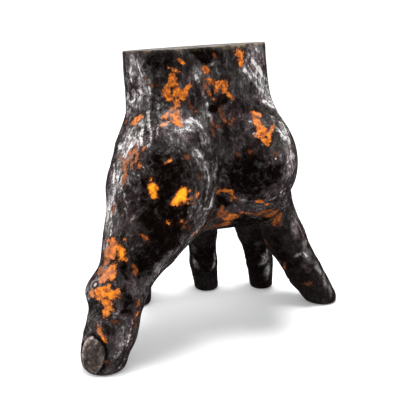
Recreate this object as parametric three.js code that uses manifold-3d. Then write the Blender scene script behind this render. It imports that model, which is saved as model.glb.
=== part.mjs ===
// A right hand carved from one block of dark stone with orange mineral patches.
// It stands on the tips of the thumb and the four fingers with its palm hollow
// underneath, and the wrist is sawn off flat on top.
//
// Frame: millimetres, +Z up, floor at z = 0. +X runs from the thumb side to the
// little-finger side, +Y from the palm to the back of the hand, and the origin
// is on the floor under the middle of the hand.
import * as THREE from "three";
import { mergeVertices } from "three/addons/utils/BufferGeometryUtils.js";
import Module from "manifold-3d";

// ---- driving dimensions, mm ------------------------------------------------
const SAW_HEIGHT = 110.8; // the wrist's sawn face above the floor, at SAW_AT
const SAW_AT = [-6.4, -0.5];
const SAW_TILT = 2.9; // degrees: the sawn face climbs towards the little finger
const SAW_TILT_HEADING = 160; // degrees in plan of the face's downhill side
const WRIST_WIDTH = 54.4; // radial to ulnar
const WRIST_THICKNESS = 37; // palm side to back
const FLAT_UNDER_TIPS = 0; // the tips are ground flat on this plane

// Centre line of each finger, from the wrist end of its metacarpal over the
// knuckle, middle joint and end joint to the tip, with the radius at each point.
const INDEX = { line: [[-12, 4.7, 84], [-16.1, 17.2, 54], [-21.1, 29.3, 29], [-23.5, 28.0, 14], [-24.9, 23.7, 2]], radius: [13, 11.0, 7.5, 6.8, 6.2] };
const MIDDLE = { line: [[-4.4, 5.1, 84], [2.0, 18.6, 54], [7.0, 27.8, 29], [8.1, 28.2, 14], [9.0, 26.8, 2]], radius: [14, 11.6, 6.8, 6.2, 5.7] };
const RING = { line: [[6.6, 3.2, 84], [17.7, 14.8, 54], [29.8, 21.6, 29], [33.4, 21.1, 14], [34.2, 19.8, 2]], radius: [13.4, 11.2, 6.8, 6.1, 5.5] };
const LITTLE = { line: [[12.1, 2.3, 86], [27.0, 6.9, 54], [37.8, 4.8, 30], [45.3, -1.0, 14], [51.7, -5.2, 1.5]], radius: [12.6, 10.4, 8.6, 7.7, 6.7] };
// Centre line of the thumb: wrist end, knuckle, end joint, nail bed, tip.
const THUMB = { line: [[-25.3, -12.8, 58.4], [-32.4, -19.8, 46.1], [-43.4, -26.5, 28.2], [-46.5, -28.5, 14.8], [-49.7, -29.0, 6.1]], radius: [16.6, 12.8, 9.6, 8.8, 8.7] };

const ROUND_BODY = 28; // facets round the wrist and the palm's masses
const ROUND_LIMB = 16; // facets round a finger
const LIMB_STEP = 5; // length of one facet along a finger

const STONE = { color: 0x2b2728, roughness: 0.24, metalness: 0.0 };

// ---- solids ----------------------------------------------------------------
const wasm = await Module();
wasm.setup();

const vec = (p) => new THREE.Vector3(...p);

// The vertices and triangles of a three.js geometry as a closed solid.
function solid(geometry) {
  const bare = geometry.clone();
  bare.deleteAttribute("normal");
  bare.deleteAttribute("uv");
  const welded = mergeVertices(bare, 1e-4);
  // Where a profile ends on its axis the last ring has shrunk to a point, so
  // the triangles that shrank with it are dropped.
  const index = welded.index.array;
  const kept = [];
  for (let i = 0; i < index.length; i += 3) {
    const [a, b, c] = [index[i], index[i + 1], index[i + 2]];
    if (a !== b && b !== c && c !== a) kept.push(a, b, c);
  }
  const made = new wasm.Manifold(
    new wasm.Mesh({
      numProp: 3,
      vertProperties: new Float32Array(welded.attributes.position.array),
      triVerts: new Uint32Array(kept),
    }),
  );
  return made;
}

// A limb with round ends: a turned profile, bent along a smooth curve through
// the points of its centre line. Its radius eases from point to point too.
function limb({ line, radius }, facets = ROUND_LIMB) {
  const axis = new THREE.CatmullRomCurve3(line.map(vec), false, "catmullrom", 0.5);
  const swell = new THREE.CatmullRomCurve3(radius.map((r) => new THREE.Vector3(r, 0, 0)), false, "catmullrom", 0.5);
  const length = axis.getLength();
  const rows = Math.round(length / LIMB_STEP);
  const frames = axis.computeFrenetFrames(rows);
  const cap = Math.round(facets / 4);

  const profile = [];
  const [first, last] = [radius[0], radius[radius.length - 1]];
  for (let i = 0; i < cap; i++) {
    const t = ((i / cap) * Math.PI) / 2;
    profile.push(new THREE.Vector2(first * Math.sin(t), -first * Math.cos(t)));
  }
  for (let i = 0; i <= rows; i++) {
    const t = axis.getUtoTmapping(i / rows);
    profile.push(new THREE.Vector2(swell.getPoint(t).x, (length * i) / rows));
  }
  for (let i = cap - 1; i >= 0; i--) {
    const t = ((i / cap) * Math.PI) / 2;
    profile.push(new THREE.Vector2(last * Math.sin(t), length + last * Math.cos(t)));
  }

  const geometry = new THREE.LatheGeometry(profile, facets);
  const position = geometry.attributes.position;
  const at = new THREE.Vector3(), point = new THREE.Vector3(), side = new THREE.Vector3();
  for (let i = 0; i < position.count; i++) {
    at.fromBufferAttribute(position, i);
    const along = THREE.MathUtils.clamp(at.y / length, 0, 1);
    const row = Math.round(along * rows);
    const normal = frames.normals[row], tangent = frames.tangents[row];
    side.crossVectors(normal, tangent);
    point
      .copy(axis.getPointAt(along))
      .addScaledVector(tangent, at.y - along * length)
      .addScaledVector(normal, at.x)
      .addScaledVector(side, at.z);
    position.setXYZ(i, point.x, point.y, point.z);
  }
  return solid(geometry);
}

// The wrist: a turned post with a round lower end, pressed oval.
function post(top, bottom, height, flattening) {
  const profile = [new THREE.Vector2(0, -bottom)];
  const cap = Math.round(ROUND_BODY / 4);
  for (let i = 1; i <= cap; i++) {
    const t = ((i / cap) * Math.PI) / 2;
    profile.push(new THREE.Vector2(bottom * Math.sin(t), -bottom * Math.cos(t)));
  }
  profile.push(new THREE.Vector2(top, height), new THREE.Vector2(0, height));
  const geometry = new THREE.LatheGeometry(profile, ROUND_BODY);
  geometry.rotateX(Math.PI / 2);
  geometry.scale(1, flattening, 1);
  return geometry;
}

// An egg-shaped muscle: a ball with three radii, turned about Z and then leaned
// about the view's depth axis.
function muscle(centre, radii, turn, lean, facets = ROUND_BODY) {
  const geometry = new THREE.SphereGeometry(1, facets, Math.round(facets / 2));
  geometry.rotateX(Math.PI / 2);
  geometry.scale(...radii);
  geometry.rotateY(THREE.MathUtils.degToRad(lean));
  geometry.rotateZ(THREE.MathUtils.degToRad(turn));
  geometry.translate(...centre);
  return solid(geometry);
}

const wrist = post(WRIST_WIDTH / 2 - 0.2, WRIST_WIDTH / 2 + 0.2, 48, WRIST_THICKNESS / WRIST_WIDTH);
wrist.rotateY(THREE.MathUtils.degToRad(-2.1));
wrist.translate(-4.4, 0.7, 84);

const pieces = [
  solid(wrist),
  // flexor ridge and head of the ulna on the wrist
  limb({ line: [[13.5, -4.7, 118], [15.2, -5.2, 102], [17, -5.7, 86]], radius: [5.5, 6, 6.5] }, 12),
  limb({ line: [[14, 9.3, 98], [14.5, 8.8, 94], [15, 8.3, 90]], radius: [7, 6.6, 6] }, 12),
  limb(INDEX),
  limb(MIDDLE),
  limb(RING),
  limb(LITTLE),
  limb(THUMB),
  // pad across the palm's lower edge, and the web from the thumb to the palm
  limb({ line: [[-3.5, 0.5, 50.2], [8.5, -0.7, 50.6], [20.6, -1.9, 51.1]], radius: [11.8, 11.6, 11.5] }),
  limb({ line: [[-11, -6.5, 49.6], [-19, -12, 44.1], [-27.5, -17.6, 38.6], [-36.5, -23, 32.5]], radius: [10, 8.8, 7.4, 6.6] }),
  // body of the palm behind the metacarpals, ball of the thumb, heel of the hand
  muscle([1.5, 8.5, 68], [25, 14.5, 27], -6, 0),
  muscle([-21.3, -10.6, 64.8], [20.5, 17.4, 26.4], -20, 13),
  muscle([16, -10.3, 69.2], [16.8, 17.4, 21], -20, -12),
];
let hand = pieces.reduce((whole, piece) => whole.add(piece));

// The saw cut on top and the ground flats under the tips: everything past a
// plane comes off with a large block whose near face lies in that plane.
function cutter(point, outward) {
  const size = 400;
  const block = new THREE.BoxGeometry(size, size, size);
  block.translate(0, 0, size / 2);
  block.applyQuaternion(new THREE.Quaternion().setFromUnitVectors(new THREE.Vector3(0, 0, 1), outward));
  block.translate(...point);
  return solid(block);
}
const tilt = THREE.MathUtils.degToRad(SAW_TILT);
const heading = THREE.MathUtils.degToRad(SAW_TILT_HEADING);
const sawNormal = new THREE.Vector3(
  Math.sin(tilt) * Math.cos(heading),
  Math.sin(tilt) * Math.sin(heading),
  Math.cos(tilt),
);
hand = hand.subtract(cutter([...SAW_AT, SAW_HEIGHT], sawNormal));
hand = hand.subtract(cutter([0, 0, FLAT_UNDER_TIPS], new THREE.Vector3(0, 0, -1)));

// ---- scene graph -----------------------------------------------------------
function geometryOf(shape) {
  const { vertProperties, triVerts, numProp } = shape.getMesh();
  const points = new Float32Array((vertProperties.length / numProp) * 3);
  for (let i = 0, j = 0; i < vertProperties.length; i += numProp)
    for (let k = 0; k < 3; k++) points[j++] = vertProperties[i + k];
  const geometry = new THREE.BufferGeometry();
  geometry.setAttribute("position", new THREE.BufferAttribute(points, 3));
  geometry.setIndex(new THREE.BufferAttribute(new Uint32Array(triVerts), 1));
  geometry.computeVertexNormals();
  return geometry;
}

const object = new THREE.Group();
const stone = new THREE.Mesh(geometryOf(hand), new THREE.MeshStandardMaterial(STONE));
stone.name = "carved_hand";
object.add(stone);

export default object;
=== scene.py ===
import bpy
import math
import numpy as np
from mathutils import Matrix, Vector


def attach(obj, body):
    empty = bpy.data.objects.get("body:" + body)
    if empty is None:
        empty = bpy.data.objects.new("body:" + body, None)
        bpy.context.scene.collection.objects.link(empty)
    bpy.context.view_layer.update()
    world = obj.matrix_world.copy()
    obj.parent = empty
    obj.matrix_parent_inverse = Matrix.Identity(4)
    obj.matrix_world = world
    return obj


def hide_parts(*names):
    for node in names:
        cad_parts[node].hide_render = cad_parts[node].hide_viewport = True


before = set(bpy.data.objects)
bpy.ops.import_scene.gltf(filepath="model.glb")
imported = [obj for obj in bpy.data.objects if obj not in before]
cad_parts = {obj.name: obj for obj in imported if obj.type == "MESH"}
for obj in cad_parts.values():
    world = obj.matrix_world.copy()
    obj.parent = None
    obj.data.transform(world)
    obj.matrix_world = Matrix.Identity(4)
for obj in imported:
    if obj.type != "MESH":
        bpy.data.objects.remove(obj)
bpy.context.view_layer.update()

# ---------------------------------------------------------------- the hand's form
# Everything is in millimetres here and scaled to metres when the mesh is made.
# A limb is a chain of round cones: (start, end, start radius, end radius, blend with the chain so far).
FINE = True
STEP = 0.66 if FINE else 0.95

SAW_AT = np.array([-6.4, -0.5, 111.7])
SAW_NORMAL = np.array([-0.05500, 0.02500, 0.0])
SAW_NORMAL[2] = (1 - SAW_NORMAL @ SAW_NORMAL) ** 0.5
EYE = np.array([-84.6, -232.8, 118.0])


def finger(knuckle, middle, end, tip, radii, proud):
    a, b, c, d = (np.array(v, float) for v in (knuckle, middle, end, tip))
    up = np.array([0, 3.2, 2.5])
    on = np.array([0, 1.2, 0.5])
    return [
        (a, b, radii[0], radii[1], 0),
        (b, c, radii[1], radii[2], 3),
        (c, d, radii[2], radii[3], 2),
        (a + up, a + up - [0, 0, 2], 7.3, 7.0, 4),
        (b + on, b + on - [0, 0, 1], proud, proud, 3),
    ]


FINGERS = [
    ((-16.1, 16.8, 54), (-21.1, 29.3, 29), (-23.5, 28.0, 14), (-24.9, 23.7, 2), (10.3, 7.4, 6.7, 6.1), 6.4),
    ((2.3, 17.6, 53), (7.0, 27.6, 29), (8.1, 28.2, 14), (9.9, 29.3, 2), (10.3, 6.6, 6.1, 5.6), 5.6),
    ((18.0, 14.0, 53), (29.8, 21.4, 29), (33.4, 21.1, 14), (35.2, 22.5, 2), (10.3, 6.6, 6.0, 5.4), 5.6),
    ((27.4, 6.3, 53), (37.8, 4.6, 30), (46.0, 0.2, 14), (54.1, -1.7, 1.5), (9.8, 8.5, 7.6, 6.6), 7.5),
]
BACKS = [(-0.42, 0.91), (0.25, 0.97), (0.72, 0.69), (0.80, 0.60)]   # which way the back of each finger faces

THUMB = [
    ((-25.3, -12.8, 58.4), (-32.5, -19.8, 46.1), 16.4, 12.2, 0),
    ((-32.4, -19.8, 46.1), (-43.2, -26.6, 28.5), 12.2, 9.2, 7),
    ((-43.5, -26.4, 28.1), (-46.5, -28.5, 14.8), 9.2, 8.7, 4),
    ((-46.2, -28.1, 17.7), (-49.5, -27.3, 5.2), 8.6, 8.6, 3),
    ((-47.9, -25.4, 29.5), (-48.6, -25.7, 27.8), 5.4, 5.3, 3),
    ((-12.7, -7.9, 48.8), (-25.2, -16.1, 39.4), 9.0, 6.4, 7),
]
# (blend into the body, blend between limbs, limbs)
FORM = [
    (0, 0, [[((-6.2, 0.4, 132), (-4.4, 0.9, 84), 27.0, 27.4, 0, 0.68)]]),
    (5, 2, [[((13.5, -4.7, 118), (17, -5.7, 86), 5, 6, 0)], [((14, 9.3, 98), (15, 8.3, 90), 7, 6, 0)]]),
    (9, 6, [
        [((-12, 4.7, 84), (-16.1, 16.8, 53), 13, 11.3, 0)],
        [((-4.4, 5.1, 84), (1.3, 17.9, 53), 14, 12, 0)],
        [((6.6, 3.2, 84), (17.5, 14.1, 52), 13, 11.5, 0)],
        [((12.1, 2.3, 86), (27.4, 6.3, 53), 12, 10.2, 0)],
        [((-3.5, 0.5, 50.2), (20.6, -1.9, 51.1), 11.5, 11.2, 0)],
    ]),
    (8, 0, [[("muscle", (-21.3, -10.6, 64.8), (20, 17, 26), (-20, 13))]]),
    (7, 0, [[("muscle", (16, -10.3, 69.2), (16.5, 17.2, 20.6), (-20, -12))]]),
    (6, 2.5, [finger(*f) for f in FINGERS]),
    (7, 0, [THUMB]),
]


def smin(a, b, k):
    if k <= 0:
        return np.minimum(a, b)
    h = np.clip(0.5 + 0.5 * (b - a) / k, 0, 1)
    return b * (1 - h) + a * h - k * h * (1 - h)


def cone_distance(p, a, b, ra, rb, squash=1.0):
    a, b = np.asarray(a, float), np.asarray(b, float)
    if squash != 1.0:
        n = np.array([0, 1.0, 0])
        along = (b - a) / np.linalg.norm(b - a)
        n = n - along * (n @ along)
        n /= np.linalg.norm(n)
        p = p + np.multiply.outer(((p - a) @ n) * (1 / squash - 1), n)
    ba = b - a
    l2 = ba @ ba
    rr = ra - rb
    a2 = l2 - rr * rr
    il2 = 1 / l2
    pa = p - a
    y = pa @ ba
    z = y - l2
    x2 = ((pa * l2 - np.multiply.outer(y, ba)) ** 2).sum(-1)
    y2, z2 = y * y * l2, z * z * l2
    k = np.sign(rr) * rr * rr * x2
    d = (np.sqrt(x2 * a2 * il2) + y * rr) * il2 - ra
    d = np.where(np.sign(y) * a2 * y2 < k, np.sqrt(x2 + y2) * il2 - ra, d)
    d = np.where(np.sign(z) * a2 * z2 > k, np.sqrt(x2 + z2) * il2 - rb, d)
    return d * min(1, squash)


def muscle_distance(p, centre, radii, turn):
    axes = np.array(Matrix.Rotation(math.radians(turn[0]), 3, "Z") @ Matrix.Rotation(math.radians(turn[1]), 3, "Y"))
    q = (p - np.asarray(centre, float)) @ axes
    r = np.asarray(radii, float)
    k0 = np.sqrt(((q / r) ** 2).sum(-1))
    k1 = np.sqrt(((q / (r * r)) ** 2).sum(-1))
    return k0 * (k0 - 1) / np.maximum(k1, 1e-9)


def piece_distance(p, q):
    return muscle_distance(p, *q[1:]) if isinstance(q[0], str) else cone_distance(p, *q[:4], *q[5:6])


PIECES = [q for _, _, limbs in FORM for limb in limbs for q in limb]
CUBE, REACH = 7.0, 13.0


def shape(points):
    """Signed distance to the uncut hand. Points are handled cube by cube, with only the pieces near each cube."""
    cell = np.floor(points / CUBE).astype(np.int64)
    key = (cell[:, 0] + 64) * 65536 + (cell[:, 1] + 64) * 256 + cell[:, 2] + 64
    order = np.argsort(key, kind="stable")
    cuts = np.flatnonzero(np.diff(key[order])) + 1
    groups = np.split(order, cuts)
    centres = (cell[[g[0] for g in groups]] + 0.5) * CUBE
    far = np.stack([piece_distance(centres, q) for q in PIECES], 1)
    near = far < far.min(1)[:, None] + 2 * 0.87 * CUBE + REACH
    out = np.empty(len(points))
    for g, use in zip(groups, near):
        p = points[g]
        d = None
        n = 0
        for blend, between, limbs in FORM:
            body = None
            for limb in limbs:
                e = None
                for q in limb:
                    n += 1
                    if not use[n - 1]:
                        continue
                    v = piece_distance(p, q)
                    k = 0 if isinstance(q[0], str) else q[4]
                    e = v if e is None else smin(e, v, k)
                if e is not None:
                    body = e if body is None else smin(body, e, between)
            if body is not None:
                d = body if d is None else smin(d, body, blend)
        out[g] = d
    return out


FOOT_ROUND = 1.5     # how softly a fingertip turns into the flat that it stands on


def solid(points):
    return -smin(-shape(points), points[:, 2], FOOT_ROUND)


def value_and_slope(f, p, e=0.05):
    corners = np.array([[1, -1, -1], [-1, -1, 1], [-1, 1, -1], [1, 1, 1]], float)
    v = f((p + e * corners[:, None]).reshape(-1, 3)).reshape(4, -1)
    return v.sum(0) / 4, v.T @ corners / (4 * e)


def onto(f, p, times=2, flat=None, cap=1.0):
    """Moves points onto f = 0. Those in flat only slide within the saw plane."""
    for _ in range(times):
        v, g = value_and_slope(f, p)
        if flat is not None:
            g[flat] -= np.multiply.outer(g[flat] @ SAW_NORMAL, SAW_NORMAL)
        s = (v / np.maximum((g * g).sum(1), 1e-3))[:, None] * g
        far = np.linalg.norm(s, axis=1, keepdims=True)
        p = p - s * np.minimum(1, cap / np.maximum(far, 1e-9))
    return p, g / np.maximum(np.linalg.norm(g, axis=1, keepdims=True), 1e-9)


# ---------------------------------------------------------------- skin of the form
# A grid whose layers lean so that the floor and the saw cut each lie midway between two layers.
def saw_height(x, y):
    return SAW_AT[2] - (SAW_NORMAL[0] * (x - SAW_AT[0]) + SAW_NORMAL[1] * (y - SAW_AT[1])) / SAW_NORMAL[2]


LOW, HIGH = (-61.0, -41.0), (61.5, 40.5)
xs = np.arange(LOW[0], HIGH[0], STEP)
ys = np.arange(LOW[1], HIGH[1], STEP)
layers = int(round(SAW_AT[2] / STEP))
ws = (np.arange(layers + 2) - 0.5) * (SAW_AT[2] / layers)


def real(x, y, w):
    return np.where(w < 0, w, w * saw_height(x, y) / SAW_AT[2])


def grid_values():
    many = 4
    cx, cy, cw = xs[many // 2::many], ys[many // 2::many], ws[many // 2::many]
    X, Y, W = np.meshgrid(cx, cy, cw, indexing="ij")
    coarse = shape(np.stack([X, Y, real(X, Y, W)], -1).reshape(-1, 3)).reshape(X.shape)
    at = [np.minimum(np.arange(len(a)) // many, n - 1) for a, n in zip((xs, ys, ws), coarse.shape)]
    values = coarse[np.ix_(*at)]
    close = np.argwhere(np.abs(values) < many * STEP * 1.2 + 2.2)
    x, y, w = xs[close[:, 0]], ys[close[:, 1]], ws[close[:, 2]]
    values[tuple(close.T)] = solid(np.stack([x, y, real(x, y, w)], -1))
    values[:, :, 0] = np.maximum(values[:, :, 0], 0.1)
    values[:, :, -1] = np.maximum(values[:, :, -1], 0.1)
    return values


def unpinched(values):
    """Fills samples where two bits of stone would meet along an edge only, with four quads on it."""
    for _ in range(6):
        inside = values < 0
        pinches = 0
        for u, v in ((0, 1), (0, 2), (1, 2)):
            du, dv = np.eye(3, dtype=int)[u], np.eye(3, dtype=int)[v]
            steps = [0 * du, du + dv, du, dv]
            room = np.array(values.shape) - du - dv
            a, b, c, d = (inside[tuple(slice(o, o + r) for o, r in zip(step_, room))] for step_ in steps)
            for cell in np.argwhere((a == b) & (c == d) & (a != c)):
                out = [tuple(cell + step_) for step_ in steps if values[tuple(cell + step_)] >= 0]
                if out:
                    values[min(out, key=lambda at: values[at])] = -0.02
                    pinches += 1
        if not pinches:
            break
    return values


def skin(values):
    """One vertex for each cell that the surface passes through, and one quad for each grid edge that it crosses."""
    inside = values < 0
    n = values.shape
    total = np.zeros([k - 1 for k in n], np.int8)
    corners = [(0, 0, 0), (1, 0, 0), (0, 1, 0), (1, 1, 0), (0, 0, 1), (1, 0, 1), (0, 1, 1), (1, 1, 1)]
    for a, b, c in corners:
        total += inside[a:n[0] - 1 + a, b:n[1] - 1 + b, c:n[2] - 1 + c]
    cells = np.argwhere((total > 0) & (total < 8))
    number = -np.ones(total.shape, np.int64)
    number[tuple(cells.T)] = np.arange(len(cells))
    I, J, K = cells.T
    at = [values[I + a, J + b, K + c] for a, b, c in corners]
    acc, count = np.zeros((len(cells), 3)), np.zeros(len(cells))
    for e0, e1 in ((0, 1), (2, 3), (4, 5), (6, 7), (0, 2), (1, 3), (4, 6), (5, 7), (0, 4), (1, 5), (2, 6), (3, 7)):
        a, b = at[e0], at[e1]
        m = (a < 0) != (b < 0)
        t = np.where(m, a / np.where(m, a - b, 1), 0)
        c0, c1 = np.array(corners[e0], float), np.array(corners[e1], float)
        acc[m] += c0 + (c1 - c0) * t[m, None]
        count[m] += 1
    share = acc / count[:, None]
    x = xs[I] + share[:, 0] * STEP
    y = ys[J] + share[:, 1] * STEP
    top = K == layers
    w = ws[K] + share[:, 2] * (ws[1] - ws[0])
    w[top] = SAW_AT[2]
    w[K == 0] = np.maximum(w[K == 0], 0)
    points = np.stack([x, y, real(x, y, w)], -1)
    quads, level = [], []
    for axis in range(3):
        b1, b2 = [k for k in range(3) if k != axis]
        s0, s1 = [slice(None)] * 3, [slice(None)] * 3
        s0[axis], s1[axis] = slice(0, -1), slice(1, None)
        A, B = inside[tuple(s0)], inside[tuple(s1)]
        edge = np.argwhere(A != B)
        edge = edge[(edge[:, b1] > 0) & (edge[:, b1] < n[b1] - 1) & (edge[:, b2] > 0) & (edge[:, b2] < n[b2] - 1)] if axis == 2 else \
            edge[(edge[:, b1] > 0) & (edge[:, b1] < n[b1] - 1) & (edge[:, 2] > 0) & (edge[:, 2] < n[2] - 1)]
        into = A[tuple(edge.T)]
        quad = []
        for o1, o2 in ((-1, -1), (0, -1), (0, 0), (-1, 0)):
            c = edge.copy()
            c[:, b1] += o1
            c[:, b2] += o2
            quad.append(number[tuple(c.T)])
        quad = np.stack(quad, 1)
        flip = into if axis != 1 else ~into
        quad[~flip] = quad[~flip][:, ::-1]
        quads.append(quad)
        level.append((edge[:, 2] == layers) if axis == 2 else np.zeros(len(edge), bool))
    quads = np.concatenate(quads)
    on_top = np.concatenate(level)
    low = [inside[I + a, J + b, K] for a, b in ((0, 0), (1, 0), (0, 1), (1, 1))]
    rim = top & ~np.logical_and.reduce(low)
    return points, quads, on_top, top, rim


points, quads, face_on_top, on_top, rim = skin(unpinched(grid_values()))
wall = ~on_top | rim
moved, slope = onto(solid, points[wall], 3, flat=rim[wall])
points[wall] = moved

pairs = np.concatenate([quads[:, [0, 1]], quads[:, [1, 2]], quads[:, [2, 3]], quads[:, [3, 0]]])
pairs = np.unique(np.sort(pairs, 1), axis=0)
rim_pair = rim[pairs[:, 0]] & rim[pairs[:, 1]]


def neighbour_mean(p, links, n):
    total = np.stack([np.bincount(links[:, 0], p[links[:, 1], i], n) + np.bincount(links[:, 1], p[links[:, 0], i], n) for i in range(3)], 1)
    return total / np.maximum(np.bincount(links.ravel(), minlength=n), 1)[:, None]


rim_links = pairs[rim_pair]
normals = np.tile(SAW_NORMAL, (len(points), 1))
for turn in range(4 if FINE else 2):
    mean = neighbour_mean(points, pairs, len(points))
    mean[rim] = neighbour_mean(points, rim_links, len(points))[rim]
    step = 0.55 * (mean - points)
    p = points + step
    inner = on_top & ~rim
    p[inner] -= np.multiply.outer((p[inner] - SAW_AT) @ SAW_NORMAL, SAW_NORMAL)
    q, slope = onto(solid, p[wall], 1, flat=rim[wall], cap=0.6)
    p[wall] = q
    points = p
moved, slope = onto(solid, points[wall], 1, flat=rim[wall], cap=0.5)
points[wall] = moved
normals[wall] = slope
points[:, 2] = np.maximum(points[:, 2], 0)

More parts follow.
